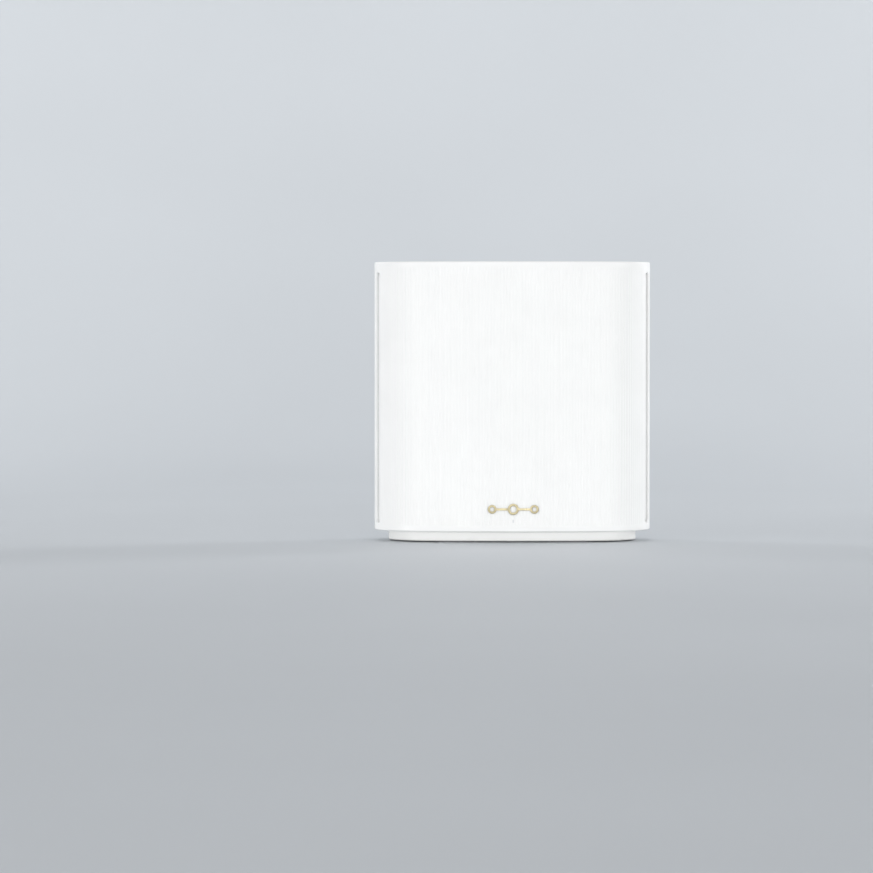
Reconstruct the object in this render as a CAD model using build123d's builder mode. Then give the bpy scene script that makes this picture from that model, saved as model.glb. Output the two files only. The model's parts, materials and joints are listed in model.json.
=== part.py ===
from build123d import *
import os
from math import atan2, cos, degrees, radians, sin, tan

# Mesh wifi node: a free-standing oval tower with a finely ribbed front, a port bay low on its back, a flat
# lid and a recessed plinth. Inside stand a circuit board between two heatsinks, a frame with six antennas,
# and the sockets, switches and screws.
#
# Millimetres. The origin is the centre of the footprint, on the surface that the feet stand on. +Z is up,
# the ribbed front faces -Y, and +X is on the right of someone who faces the front.

# ---- Driving dimensions ------------------------------------------------------------------------------

WIDTH = 160.0
DEPTH = 75.0
HEIGHT = 161.5
END_RADIUS = 34.0  # plan radius of the two rounded ends

WALL = 2.6
FOOT_PROUD = 0.6
SHELL_LOW = 6.4  # lower edge of the main shell, above the plinth
RIM_RADIUS = 0.8

SEAM_Y = -11.75  # plane where the front and rear shells meet, along the middle of each side channel
CHANNEL_WIDTH = 6.3
CHANNEL_DEPTH = 1.4
CHANNEL_LOW = 10.6
CHANNEL_HIGH = 155.4
LIP_REACH = 5.2  # how far the rear shell's lip runs behind the front one
LIP_CLEARANCE = 0.1

RIB_PITCH = 1.8
RIB_MARGIN = 2.6  # plain band above and below the ribbing
GROOVES_PER_SIDE = 45
GROOVE_RADIUS = 0.8
GROOVE_DEPTH = 0.2

PLINTH_INSET = 8.2
PLINTH_WALL = 2.2
PLINTH_FLOOR = 2.0
FLANGE_LOW = 7.0
FLANGE_HIGH = 9.0

CAP_GAP = 1.6  # open slit around the lid, where warm air leaves
CAP_SETBACK = 0.6  # how far the lid lies below the rim
CAP_THICKNESS = 2.0
SKIRT_LOW = 150.0

BOARD_FRONT = 3.0  # Y of the board's front face
BOARD_THICKNESS = 1.6
BOARD_WIDTH = 118.0
BOARD_LOW = 10.0
BOARD_HIGH = 140.0

BAY_WIDTH = 126.0
BAY_HEIGHT = 25.0
BAY_WALL = 1.5
BAY_FLOOR_Y = 22.0  # outer face of the panel that the sockets come through
PORT_Z = 24.0  # centre height of the bay and of every socket in it
BAY_CORNER = 3.0
SOCKET_PROUD = 0.4  # how far the sockets stand out of that panel
FIT = 0.2  # clearance between a piece and the opening it sits in

WAN_X = 20.5
SOCKET_PITCH = 18.0
USB_X = -52.0
ROCKER_X = 40.0
DC_X = 54.0

SWITCH_Y = 1.2  # Y of both press buttons, under the switches on the board's front face
WPS_X = 32.0
RESET_X = -30.0

STATUS_Z = 12.6
EMBLEM_Z = 19.4

# ---- Worked out from those ---------------------------------------------------------------------------

HALF_DEPTH = DEPTH / 2
END_X = WIDTH / 2 - END_RADIUS
FACE_Y = (END_X**2 - (HALF_DEPTH - END_RADIUS) ** 2) / (2 * (HALF_DEPTH - END_RADIUS))
FACE_RADIUS = HALF_DEPTH + FACE_Y  # the shallow arcs of the front and the back
TANGENT = degrees(atan2(FACE_Y, END_X))  # where an end arc meets a face arc, from the X axis
FACE_HALF_ARC = FACE_RADIUS * radians(90 - TANGENT)
SHELL_HEIGHT = HEIGHT - SHELL_LOW
CAP_TOP = HEIGHT - CAP_SETBACK
BOARD_MIDDLE = (BOARD_LOW + BOARD_HIGH) / 2
BOARD_REAR = BOARD_FRONT + BOARD_THICKNESS
SOCKET_MOUTH_Y = BAY_FLOOR_Y + SOCKET_PROUD

FAR = 200.0  # longer than the whole object, for cuts that run right through
os.makedirs("parts", exist_ok=True)


def oval(inset=0.0):
    """The plan outline as a sketch, moved inwards by inset: four arcs, tangent where they meet."""
    with BuildSketch() as outline:
        with BuildLine():
            CenterArc((END_X, 0), END_RADIUS - inset, -TANGENT, 2 * TANGENT)
            CenterArc((0, -FACE_Y), FACE_RADIUS - inset, TANGENT, 180 - 2 * TANGENT)
            CenterArc((-END_X, 0), END_RADIUS - inset, 180 - TANGENT, 2 * TANGENT)
            CenterArc((0, FACE_Y), FACE_RADIUS - inset, 180 + TANGENT, 180 - 2 * TANGENT)
        make_face()
    return outline.sketch


def on_front(run, outset):
    """The point a distance run along the outline from the middle of the front, moved outwards by outset."""
    side = 1 if run >= 0 else -1
    if abs(run) <= FACE_HALF_ARC:
        turn = run / FACE_RADIUS
        reach = FACE_RADIUS + outset
        return (reach * sin(turn), FACE_Y - reach * cos(turn))
    turn = (abs(run) - FACE_HALF_ARC) / END_RADIUS - radians(TANGENT)
    reach = END_RADIUS + outset
    return (side * (END_X + reach * cos(turn)), reach * sin(turn))


def across(y):
    """The upright plane at that Y. Its own axes are X and Z, and a negative extrusion runs towards +Y."""
    return Plane.XZ.offset(-y)


def keep(piece, name):
    """Labels a finished piece and writes its STEP file."""
    piece.part.label = name
    export_step(piece.part, f"parts/{name}.step")


# ---- Tools shared by the two shells --------------------------------------------------------------------

with BuildPart() as shell_ring:
    with BuildSketch(Plane.XY.offset(SHELL_LOW)):
        add(oval())
    extrude(amount=SHELL_HEIGHT)
    fillet(shell_ring.faces().filter_by(Axis.Z).edges(), RIM_RADIUS)
    with BuildSketch(Plane.XY.offset(SHELL_LOW)):
        add(oval(WALL))
    extrude(amount=SHELL_HEIGHT, mode=Mode.SUBTRACT)

with BuildPart() as side_channels:
    with BuildSketch(Plane.YZ):
        with Locations((SEAM_Y, (CHANNEL_LOW + CHANNEL_HIGH) / 2)):
            SlotOverall(CHANNEL_HIGH - CHANNEL_LOW, CHANNEL_WIDTH, rotation=90)
    extrude(amount=FAR / 2, both=True)
    with BuildSketch(Plane.XY):
        add(oval(CHANNEL_DEPTH))
    extrude(amount=HEIGHT, mode=Mode.SUBTRACT)

# ---- Front fascia: the ribbed half of the housing ------------------------------------------------------

FRONT_BOSSES = [(-50, -19), (50, -19)]
BOSS_RADIUS = 3.2
BOSS_HIGH = 18.4
BOSS_ROOF = 1.0  # what is left over each pilot hole
PILOT_RADIUS = 1.5
WEB = 2.4
STATUS_HOLE = 0.9

with BuildPart() as front_fascia:
    add(shell_ring.part)
    split(bisect_by=across(SEAM_Y), keep=Keep.TOP)
    # the inside is stepped back along the seam, where the rear shell's lip lies
    with BuildSketch(Plane.XY.offset(SHELL_LOW)):
        add(oval(CHANNEL_DEPTH - LIP_CLEARANCE))
        with Locations((0, SEAM_Y - LIP_REACH - FIT - DEPTH / 2)):
            Rectangle(FAR, DEPTH, mode=Mode.SUBTRACT)
    extrude(amount=SHELL_HEIGHT, mode=Mode.SUBTRACT)
    # two screw bosses, each on a web that runs to the front wall
    with BuildSketch(Plane.XY.offset(FLANGE_HIGH)):
        for x, y in FRONT_BOSSES:
            with Locations((x, (y - HALF_DEPTH) / 2)):
                Rectangle(WEB, HALF_DEPTH + y)
        add(oval(WALL / 2), mode=Mode.INTERSECT)
        with Locations(*FRONT_BOSSES):
            Circle(BOSS_RADIUS)
    extrude(amount=BOSS_HIGH - FLANGE_HIGH)
    with BuildSketch(Plane.XY.offset(FLANGE_HIGH)):
        with Locations(*FRONT_BOSSES):
            Circle(PILOT_RADIUS)
    extrude(amount=BOSS_HIGH - BOSS_ROOF - FLANGE_HIGH, mode=Mode.SUBTRACT)
    add(side_channels.part, mode=Mode.SUBTRACT)
    with BuildSketch(Plane.XY.offset(SHELL_LOW + RIB_MARGIN)):
        for count in range(-GROOVES_PER_SIDE, GROOVES_PER_SIDE + 1):
            with Locations(on_front(count * RIB_PITCH, GROOVE_RADIUS - GROOVE_DEPTH)):
                Circle(GROOVE_RADIUS)
    extrude(amount=SHELL_HEIGHT - 2 * RIB_MARGIN, mode=Mode.SUBTRACT)
    with BuildSketch(across(-HALF_DEPTH / 2)):
        with Locations((0, STATUS_Z)):
            Circle(STATUS_HOLE)
    extrude(amount=HALF_DEPTH, mode=Mode.SUBTRACT)
keep(front_fascia, "front_fascia")

# ---- Rear shell: the plain half, with the lip behind the seam and the window for the port bay ----------

REAR_BOSSES = [(-61.5, 13), (61.5, 13)]

with BuildPart() as rear_shell:
    add(shell_ring.part)
    split(bisect_by=across(SEAM_Y), keep=Keep.BOTTOM)
    with BuildSketch(Plane.XY.offset(SHELL_LOW)):
        add(oval(CHANNEL_DEPTH))
        add(oval(WALL), mode=Mode.SUBTRACT)
        with Locations((0, SEAM_Y - LIP_REACH / 2)):
            Rectangle(FAR, LIP_REACH, mode=Mode.INTERSECT)
    extrude(amount=SHELL_HEIGHT)
    with BuildSketch(Plane.XY.offset(FLANGE_HIGH)):
        for x, y in REAR_BOSSES:
            with Locations(((x + (WIDTH if x > 0 else -WIDTH) / 2) / 2, y)):
                Rectangle(WIDTH / 2 - abs(x), WEB)
        add(oval(WALL / 2), mode=Mode.INTERSECT)
        with Locations(*REAR_BOSSES):
            Circle(BOSS_RADIUS)
    extrude(amount=BOSS_HIGH - FLANGE_HIGH)
    with BuildSketch(Plane.XY.offset(FLANGE_HIGH)):
        with Locations(*REAR_BOSSES):
            Circle(PILOT_RADIUS)
    extrude(amount=BOSS_HIGH - BOSS_ROOF - FLANGE_HIGH, mode=Mode.SUBTRACT)
    add(side_channels.part, mode=Mode.SUBTRACT)
    with BuildSketch(across(BAY_FLOOR_Y)):
        with Locations((0, PORT_Z)):
            RectangleRounded(BAY_WIDTH, BAY_HEIGHT, BAY_CORNER)
    extrude(amount=-DEPTH, mode=Mode.SUBTRACT)
keep(rear_shell, "rear_shell")

# ---- Lid: a plate that stands clear of the rim all round, on a skirt with spacer ribs ------------------

SKIRT_INSET = 7.0
SKIRT_WALL = 1.5
SPACER = 2.0
SPACER_PITCH = 36.0
SPACER_HIGH = 157.0
CAP_FILLET = 0.5

with BuildPart() as top_cap:
    with BuildSketch(Plane.XY.offset(CAP_TOP - CAP_THICKNESS)):
        add(oval(WALL + CAP_GAP))
    extrude(amount=CAP_THICKNESS)
    fillet(top_cap.faces().sort_by(Axis.Z)[-1].edges(), CAP_FILLET)
    with BuildSketch(Plane.XY.offset(SKIRT_LOW)):
        add(oval(SKIRT_INSET))
        add(oval(SKIRT_INSET + SKIRT_WALL), mode=Mode.SUBTRACT)
    extrude(amount=CAP_TOP - CAP_THICKNESS - SKIRT_LOW)
    with BuildSketch(Plane.XY.offset(SKIRT_LOW)):
        with GridLocations(SPACER_PITCH, 0, 3, 1):
            Rectangle(SPACER, DEPTH)
        Rectangle(WIDTH, SPACER)
        add(oval(WALL + LIP_CLEARANCE), mode=Mode.INTERSECT)
        add(oval(SKIRT_INSET + SKIRT_WALL / 2), mode=Mode.SUBTRACT)
    extrude(amount=SPACER_HIGH - SKIRT_LOW)
keep(top_cap, "top_cap")

# ---- Base: the plinth with its vented floor, and the flange that closes the shells from below ----------

FLOOR_TOP = FOOT_PROUD + PLINTH_FLOOR
FOOT_X, FOOT_Y = 33.0, 21.5
FEET = {
    "foot_front_left": (-FOOT_X, -FOOT_Y),
    "foot_front_right": (FOOT_X, -FOOT_Y),
    "foot_rear_left": (-FOOT_X, FOOT_Y),
    "foot_rear_right": (FOOT_X, FOOT_Y),
}
FOOT_LENGTH, FOOT_WIDTH, FOOT_SEAT = 22.0, 5.4, 1.0
FOOT_CHAMFER = 0.3
LABEL_SIZE = (40.0, 24.0)
LABEL_CORNER = 2.0
LABEL_SEAT = 0.3
LABEL_FILM = 0.2
SCREW_PLACES = FRONT_BOSSES + REAR_BOSSES
COUNTERBORE_RADIUS = 3.4
PILLAR_WALL = 1.2
SCREW_SEAT = 5.4
SHANK_HOLE = 1.7
WPS_RADIUS = 5.0
WPS_GUIDE = 6.8
GUIDE_WALL = 1.0
GUIDE_HEIGHT = 3.0
BUTTON_GAP = 0.3
PINHOLE = 1.1
PINHOLE_WALL = 1.4
VENT_SLOT = (14.0, 2.0)
VENTS = 5
VENT_PITCH = 4.0
VENT_X, VENT_Y = 50.0, -2.0

with BuildPart() as base_plinth:
    with BuildSketch(Plane.XY.offset(FOOT_PROUD)):
        add(oval(PLINTH_INSET))
    extrude(amount=FLANGE_LOW - FOOT_PROUD)
    fillet(base_plinth.faces().sort_by(Axis.Z)[0].edges(), RIM_RADIUS)
    with BuildSketch(Plane.XY.offset(FLANGE_LOW)):
        add(oval(WALL + LIP_CLEARANCE))
    extrude(amount=FLANGE_HIGH - FLANGE_LOW)
    with BuildSketch(Plane.XY.offset(FLOOR_TOP)):
        add(oval(PLINTH_INSET + PLINTH_WALL))
    extrude(amount=FLANGE_HIGH - FLOOR_TOP, mode=Mode.SUBTRACT)
    # screw pillars, the wps guide and the reset guide stand on the floor
    with BuildSketch(Plane.XY.offset(FOOT_PROUD + FOOT_SEAT)):
        with Locations(*SCREW_PLACES):
            Circle(COUNTERBORE_RADIUS + PILLAR_WALL)
    extrude(amount=FLANGE_HIGH - FOOT_PROUD - FOOT_SEAT)
    with BuildSketch(Plane.XY.offset(FLOOR_TOP)):
        with Locations((WPS_X, SWITCH_Y)):
            Circle(WPS_GUIDE + GUIDE_WALL)
            Circle(WPS_GUIDE, mode=Mode.SUBTRACT)
    extrude(amount=GUIDE_HEIGHT)
    with BuildSketch(Plane.XY.offset(FLOOR_TOP)):
        with Locations((RESET_X, SWITCH_Y)):
            Circle(PINHOLE + PINHOLE_WALL)
    extrude(amount=FLANGE_LOW - FLOOR_TOP)
    with BuildSketch(Plane.XY.offset(FOOT_PROUD)):
        with Locations(*SCREW_PLACES):
            Circle(COUNTERBORE_RADIUS)
    extrude(amount=SCREW_SEAT - FOOT_PROUD, mode=Mode.SUBTRACT)
    with BuildSketch(Plane.XY.offset(SCREW_SEAT)):
        with Locations(*SCREW_PLACES):
            Circle(SHANK_HOLE)
    extrude(amount=FLANGE_HIGH - SCREW_SEAT, mode=Mode.SUBTRACT)
    with BuildSketch(Plane.XY.offset(FOOT_PROUD)):
        with Locations(*FEET.values()):
            SlotOverall(FOOT_LENGTH + FIT, FOOT_WIDTH + FIT)
    extrude(amount=FOOT_SEAT, mode=Mode.SUBTRACT)
    with BuildSketch(Plane.XY.offset(FOOT_PROUD)):
        with Locations((0, SWITCH_Y)):
            RectangleRounded(LABEL_SIZE[0] + FIT, LABEL_SIZE[1] + FIT, LABEL_CORNER)
    extrude(amount=LABEL_SEAT, mode=Mode.SUBTRACT)
    with BuildSketch(Plane.XY.offset(FOOT_PROUD)):
        with Locations((WPS_X, SWITCH_Y)):
            Circle(WPS_RADIUS + BUTTON_GAP)
        with Locations((RESET_X, SWITCH_Y)):
            Circle(PINHOLE)
    extrude(amount=FLANGE_LOW - FOOT_PROUD, mode=Mode.SUBTRACT)
    # air inlets: a block of slots near each end of the floor
    with BuildSketch(Plane.XY.offset(FOOT_PROUD)):
        with Locations((-VENT_X, VENT_Y), (VENT_X, VENT_Y)):
            with GridLocations(VENT_PITCH, 0, VENTS, 1):
                SlotOverall(*VENT_SLOT, rotation=90)
    extrude(amount=PLINTH_FLOOR, mode=Mode.SUBTRACT)
keep(base_plinth, "base_plinth")

for name, (x, y) in FEET.items():
    with BuildPart() as foot:
        with BuildSketch(Plane.XY):
            with Locations((x, y)):
                SlotOverall(FOOT_LENGTH, FOOT_WIDTH)
        extrude(amount=FOOT_PROUD + FOOT_SEAT)
        chamfer(foot.faces().sort_by(Axis.Z)[0].edges(), FOOT_CHAMFER)
    keep(foot, name)

with BuildPart() as rating_label:
    with BuildSketch(Plane.XY.offset(FOOT_PROUD + LABEL_SEAT - LABEL_FILM)):
        with Locations((0, SWITCH_Y)):
            RectangleRounded(*LABEL_SIZE, LABEL_CORNER)
    extrude(amount=LABEL_FILM)
keep(rating_label, "rating_label")

# ---- Screws ---------------------------------------------------------------------------------------------

SCREW_TIP = 17.0
HEAD_ROUNDING = 0.3  # share of a head's height


def pan_screws(plane, places, length, shank, head_radius, head, cross):
    """Cross-recessed pan-head screws at places on the plane that their heads rest on, as one group."""
    with BuildPart() as screws:
        with BuildSketch(plane):
            with Locations(*places):
                Circle(head_radius)
        extrude(amount=head)
        fillet(screws.faces().group_by(Axis(plane.origin, plane.z_dir))[-1].edges(), HEAD_ROUNDING * head)
        with BuildSketch(plane):
            with Locations(*places):
                Circle(shank)
        extrude(amount=-length)
        with BuildSketch(plane.offset(head)):
            with Locations(*places):
                Rectangle(*cross)
                Rectangle(*cross, rotation=90)
        extrude(amount=-head / 2, mode=Mode.SUBTRACT)
    return screws


# the four that hold the base to the shells, heads downwards: their plane has Y and X as its own axes
base_screws = pan_screws(
    Plane.YX.offset(-SCREW_SEAT),
    [(y, x) for x, y in SCREW_PLACES],
    length=SCREW_TIP - SCREW_SEAT,
    shank=1.45,
    head_radius=2.8,
    head=2.2,
    cross=(3.2, 0.7),
)
keep(base_screws, "base_screws")

# ---- Front trim: the emblem of three linked rings, and the status light pipe ----------------------------

GLUE = 0.02
EMBLEM_THICKNESS = 0.35
EMBLEM_ROOM = 4.0  # half the height of the strip of skin that the emblem is cut from
MIDDLE_RING = (3.2, 1.9)
SIDE_RING = (2.5, 1.3)
SIDE_RING_X = 12.1
LINK = 1.2

with BuildPart() as emblem_skin:
    with BuildSketch(Plane.XY.offset(EMBLEM_Z - EMBLEM_ROOM)):
        add(oval(-GLUE - EMBLEM_THICKNESS))
        add(oval(-GLUE), mode=Mode.SUBTRACT)
    extrude(amount=2 * EMBLEM_ROOM)

with BuildPart() as emblem:
    with BuildSketch(across(-HALF_DEPTH + WALL)):
        with Locations((0, EMBLEM_Z)):
            Rectangle(2 * SIDE_RING_X, LINK)
            Circle(MIDDLE_RING[0])
            with Locations((-SIDE_RING_X, 0), (SIDE_RING_X, 0)):
                Circle(SIDE_RING[0])
                Circle(SIDE_RING[1], mode=Mode.SUBTRACT)
            Circle(MIDDLE_RING[1], mode=Mode.SUBTRACT)
    extrude(amount=2 * WALL)
    add(emblem_skin.part, mode=Mode.INTERSECT)
keep(emblem, "emblem")

LED_THICKNESS = 1.2
LED_SIZE = (3.2, 2.8)
PIPE_RADIUS = 0.85
PIPE_SETBACK = 0.05
COLLAR_RADIUS = 2.0
COLLAR = 1.5

with BuildPart() as light_pipe:
    with BuildSketch(across(BOARD_FRONT - LED_THICKNESS)):
        with Locations((0, STATUS_Z)):
            Circle(PIPE_RADIUS)
    extrude(amount=HALF_DEPTH + BOARD_FRONT - LED_THICKNESS - PIPE_SETBACK)
    with BuildSketch(across(-HALF_DEPTH + WALL + LIP_CLEARANCE + COLLAR)):
        with Locations((0, STATUS_Z)):
            Circle(COLLAR_RADIUS)
    extrude(amount=COLLAR)
keep(light_pipe, "light_pipe")

with BuildPart() as status_led:
    with BuildSketch(across(BOARD_FRONT)):
        with Locations((0, STATUS_Z)):
            Rectangle(*LED_SIZE)
    extrude(amount=LED_THICKNESS)
keep(status_led, "status_led")

# ---- Port bay: a tray let into the rear shell, with an opening for each socket --------------------------

JACK_WIDTH, JACK_HEIGHT = 16.0, 14.0
USB_WIDTH, USB_HEIGHT = 13.2, 5.8
DC_WIDTH, DC_HEIGHT = 9.4, 10.4
BAY_FLANGE = 1.2
BAY_FLANGE_REACH = 2.0
BAY_SETBACK = 0.3  # how far the tray's rim lies under the rear shell's surface
TRAY_SIDE = FIT + BAY_WALL  # from the window's edge to the inside of the tray
ROCKER_BODY = (8.8, 13.6)
JACK_XS = {
    "wan_jack": WAN_X,
    "lan_jack_1": WAN_X - SOCKET_PITCH,
    "lan_jack_2": WAN_X - 2 * SOCKET_PITCH,
    "lan_jack_3": WAN_X - 3 * SOCKET_PITCH,
}

with BuildPart() as bay_flange:
    with BuildSketch(Plane.XY):
        add(oval(WALL + LIP_CLEARANCE))
        add(oval(WALL + LIP_CLEARANCE + BAY_FLANGE), mode=Mode.SUBTRACT)
    extrude(amount=HEIGHT / 2)
    with BuildSketch(across(BAY_FLOOR_Y)):
        with Locations((0, PORT_Z)):
            Rectangle(BAY_WIDTH + 2 * BAY_FLANGE_REACH, BAY_HEIGHT + 2 * BAY_FLANGE_REACH)
            Rectangle(BAY_WIDTH - 4 * FIT, BAY_HEIGHT - 4 * FIT, mode=Mode.SUBTRACT)
    extrude(amount=-DEPTH, mode=Mode.INTERSECT)

with BuildPart() as port_bay:
    with BuildSketch(across(BAY_FLOOR_Y - BAY_WALL)):
        with Locations((0, PORT_Z)):
            RectangleRounded(BAY_WIDTH - 2 * FIT, BAY_HEIGHT - 2 * FIT, BAY_CORNER - FIT)
    extrude(amount=-DEPTH)
    with BuildSketch(across(BAY_FLOOR_Y)):
        with Locations((0, PORT_Z)):
            RectangleRounded(BAY_WIDTH - 2 * TRAY_SIDE, BAY_HEIGHT - 2 * TRAY_SIDE, BAY_CORNER - TRAY_SIDE)
    extrude(amount=-DEPTH, mode=Mode.SUBTRACT)
    with BuildSketch(Plane.XY):
        add(oval(BAY_SETBACK))
    extrude(amount=HEIGHT / 2, mode=Mode.INTERSECT)
    add(bay_flange.part)
    with BuildSketch(across(BAY_FLOOR_Y - BAY_WALL)):
        with Locations(*[(x, PORT_Z) for x in JACK_XS.values()]):
            Rectangle(JACK_WIDTH + 2 * FIT, JACK_HEIGHT + 2 * FIT)
        with Locations((USB_X, PORT_Z)):
            Rectangle(USB_WIDTH + 2 * FIT, USB_HEIGHT + 2 * FIT)
        with Locations((DC_X, PORT_Z)):
            Rectangle(DC_WIDTH + 2 * FIT, DC_HEIGHT + 2 * FIT)
        with Locations((ROCKER_X, PORT_Z)):
            Rectangle(ROCKER_BODY[0] + 2 * FIT, ROCKER_BODY[1] + 2 * FIT)
    extrude(amount=-BAY_WALL, mode=Mode.SUBTRACT)
keep(port_bay, "port_bay")

# ---- Network sockets: metal can, plastic insert and eight sprung contacts each --------------------------

CAN = 0.4
INSERT_SETBACK = 0.3
CAVITY_CHAMFER = 0.3
CAVITY_WIDTH, CAVITY_HEIGHT, CAVITY_DEPTH = 11.8, 7.0, 13.0
CAVITY_RISE = 1.4  # how far the cavity lies above the middle of its can
CAVITY_Z = PORT_Z + CAVITY_RISE
LATCH = (6.2, 1.6)
LATCH_SLOT = (3.4, 1.4)
CONTACTS = 8
CONTACT_PITCH = 1.02
CONTACT = 0.4
CONTACT_SEAT = 0.5  # how far the wires run under the cavity's roof
CONTACT_BEND = 2.5  # from the mouth back to the bend
CONTACT_TIP = (9.5, 2.3)  # from the mouth back, and from the roof down
CAVITY_TOP = CAVITY_Z + CAVITY_HEIGHT / 2
CAVITY_LOW = CAVITY_Z - CAVITY_HEIGHT / 2

for name, x in JACK_XS.items():
    with BuildPart() as can:
        with BuildSketch(across(BOARD_REAR)):
            with Locations((x, PORT_Z)):
                Rectangle(JACK_WIDTH, JACK_HEIGHT)
                Rectangle(JACK_WIDTH - 2 * CAN, JACK_HEIGHT - 2 * CAN, mode=Mode.SUBTRACT)
        extrude(amount=BOARD_REAR - SOCKET_MOUTH_Y)
    keep(can, name)

    with BuildPart() as insert:
        with BuildSketch(across(BOARD_REAR)):
            with Locations((x, PORT_Z)):
                Rectangle(JACK_WIDTH - 2 * CAN, JACK_HEIGHT - 2 * CAN)
        extrude(amount=BOARD_REAR - SOCKET_MOUTH_Y + INSERT_SETBACK)
        with BuildSketch(across(SOCKET_MOUTH_Y - CAVITY_DEPTH)):
            with Locations((x, CAVITY_Z)):
                Rectangle(CAVITY_WIDTH, CAVITY_HEIGHT)
            with Locations((x, CAVITY_LOW - LATCH[1] / 2)):
                Rectangle(*LATCH)
            with Locations((x, CAVITY_LOW - LATCH[1] - LATCH_SLOT[1] / 2)):
                Rectangle(*LATCH_SLOT)
        extrude(amount=-CAVITY_DEPTH, mode=Mode.SUBTRACT)
        chamfer(insert.faces().sort_by(Axis.Y)[-1].inner_wires()[0].edges(), CAVITY_CHAMFER)
    keep(insert, name.replace("jack", "insert"))

with BuildPart() as jack_contacts:
    for x in JACK_XS.values():
        for count in range(CONTACTS):
            first_x = x - CONTACT / 2 - (CONTACTS - 1) / 2 * CONTACT_PITCH
            with BuildSketch(Plane.YZ.offset(first_x + count * CONTACT_PITCH)):
                with BuildLine():
                    Polyline(
                        (SOCKET_MOUTH_Y - CAVITY_DEPTH, CAVITY_TOP - CONTACT_SEAT),
                        (SOCKET_MOUTH_Y - CONTACT_BEND, CAVITY_TOP - CONTACT_SEAT),
                        (SOCKET_MOUTH_Y - CONTACT_TIP[0], CAVITY_TOP - CONTACT_TIP[1]),
                    )
                trace(line_width=CONTACT)
            extrude(amount=CONTACT)
keep(jack_contacts, "jack_contacts")

# ---- USB socket ------------------------------------------------------------------------------------------

USB_SKIN = 0.45
USB_CORNER = 0.6
USB_BACK = 5.0
USB_TONGUE = (11.1, 1.9)
USB_TONGUE_RISE = 0.9
USB_TONGUE_SETBACK = 1.2

with BuildPart() as usb_shell:
    with BuildSketch(across(BOARD_REAR)):
        with Locations((USB_X, PORT_Z)):
            RectangleRounded(USB_WIDTH, USB_HEIGHT, USB_CORNER)
            Rectangle(USB_WIDTH - 2 * USB_SKIN, USB_HEIGHT - 2 * USB_SKIN, mode=Mode.SUBTRACT)
    extrude(amount=BOARD_REAR - SOCKET_MOUTH_Y)
keep(usb_shell, "usb_shell")

with BuildPart() as usb_tongue:
    with BuildSketch(across(BOARD_REAR)):
        with Locations((USB_X, PORT_Z)):
            Rectangle(USB_WIDTH - 2 * USB_SKIN, USB_HEIGHT - 2 * USB_SKIN)
    extrude(amount=-USB_BACK)
    with BuildSketch(across(BOARD_REAR)):
        with Locations((USB_X, PORT_Z + USB_TONGUE_RISE)):
            Rectangle(*USB_TONGUE)
    extrude(amount=BOARD_REAR - SOCKET_MOUTH_Y + USB_TONGUE_SETBACK)
keep(usb_tongue, "usb_tongue")

# ---- Power inlet -----------------------------------------------------------------------------------------

DC_BORE = 3.15
DC_PIN = 1.2
DC_BORE_DEPTH = 9.8
DC_CHAMFER = 0.4
PIN_SETBACK = 0.8
PIN_TIP_FILLET = 0.4
DC_FLOOR_Y = SOCKET_MOUTH_Y - DC_BORE_DEPTH
PIN_ROOT = 1.6
PIN_ROOT_LENGTH = 4.0

with BuildPart() as dc_jack:
    with BuildSketch(across(BOARD_REAR)):
        with Locations((DC_X, PORT_Z)):
            Rectangle(DC_WIDTH, DC_HEIGHT)
    extrude(amount=BOARD_REAR - SOCKET_MOUTH_Y)
    with BuildSketch(across(DC_FLOOR_Y)):
        with Locations((DC_X, PORT_Z)):
            Circle(DC_BORE)
    extrude(amount=-DC_BORE_DEPTH, mode=Mode.SUBTRACT)
    chamfer(dc_jack.faces().sort_by(Axis.Y)[-1].edges().filter_by(GeomType.CIRCLE), DC_CHAMFER)
    with BuildSketch(across(DC_FLOOR_Y)):
        with Locations((DC_X, PORT_Z)):
            Circle(PIN_ROOT)
    extrude(amount=PIN_ROOT_LENGTH, mode=Mode.SUBTRACT)
keep(dc_jack, "dc_jack")

with BuildPart() as dc_pin:
    with BuildSketch(across(DC_FLOOR_Y - PIN_ROOT_LENGTH)):
        with Locations((DC_X, PORT_Z)):
            Circle(PIN_ROOT)
    extrude(amount=-PIN_ROOT_LENGTH)
    with BuildSketch(across(DC_FLOOR_Y)):
        with Locations((DC_X, PORT_Z)):
            Circle(DC_PIN)
    extrude(amount=PIN_SETBACK - DC_BORE_DEPTH)
    fillet(dc_pin.faces().sort_by(Axis.Y)[-1].edges(), PIN_TIP_FILLET)
keep(dc_pin, "dc_pin")

# ---- Power rocker: it rests with its upper half pressed, and turns about its two stubs -----------------

ROCKER_PIVOT_Y = 20.8
ROCKER_TILT = 9.0
PADDLE_WIDTH = 7.0
PADDLE_HALF = 5.4
PADDLE_PROUD = 2.4
PADDLE_DIP = 0.9  # how far the middle of its face is dished
PADDLE_EDGE = 0.2
PADDLE_KEEL = (3.2, 2.0)  # depth of its back, and half its height there
PADDLE_FILLET = 0.3
BEZEL = (10.4, 15.2)
BEZEL_CORNER = 0.8
BEZEL_PROUD = 1.0
BEZEL_FILLET = 0.4
BEZEL_DEPTH = 8.0
BEZEL_FACE_Y = BAY_FLOOR_Y + BEZEL_PROUD
BEZEL_CAVITY = (7.5, 12.2)
STUB_RADIUS = 0.8
STUB_END = 4.2
STUB_PLAY = 0.05

rocker_plane = Plane(
    origin=(ROCKER_X, ROCKER_PIVOT_Y, PORT_Z),
    x_dir=(0, cos(radians(ROCKER_TILT)), sin(radians(ROCKER_TILT))),
    z_dir=(1, 0, 0),
)

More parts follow.
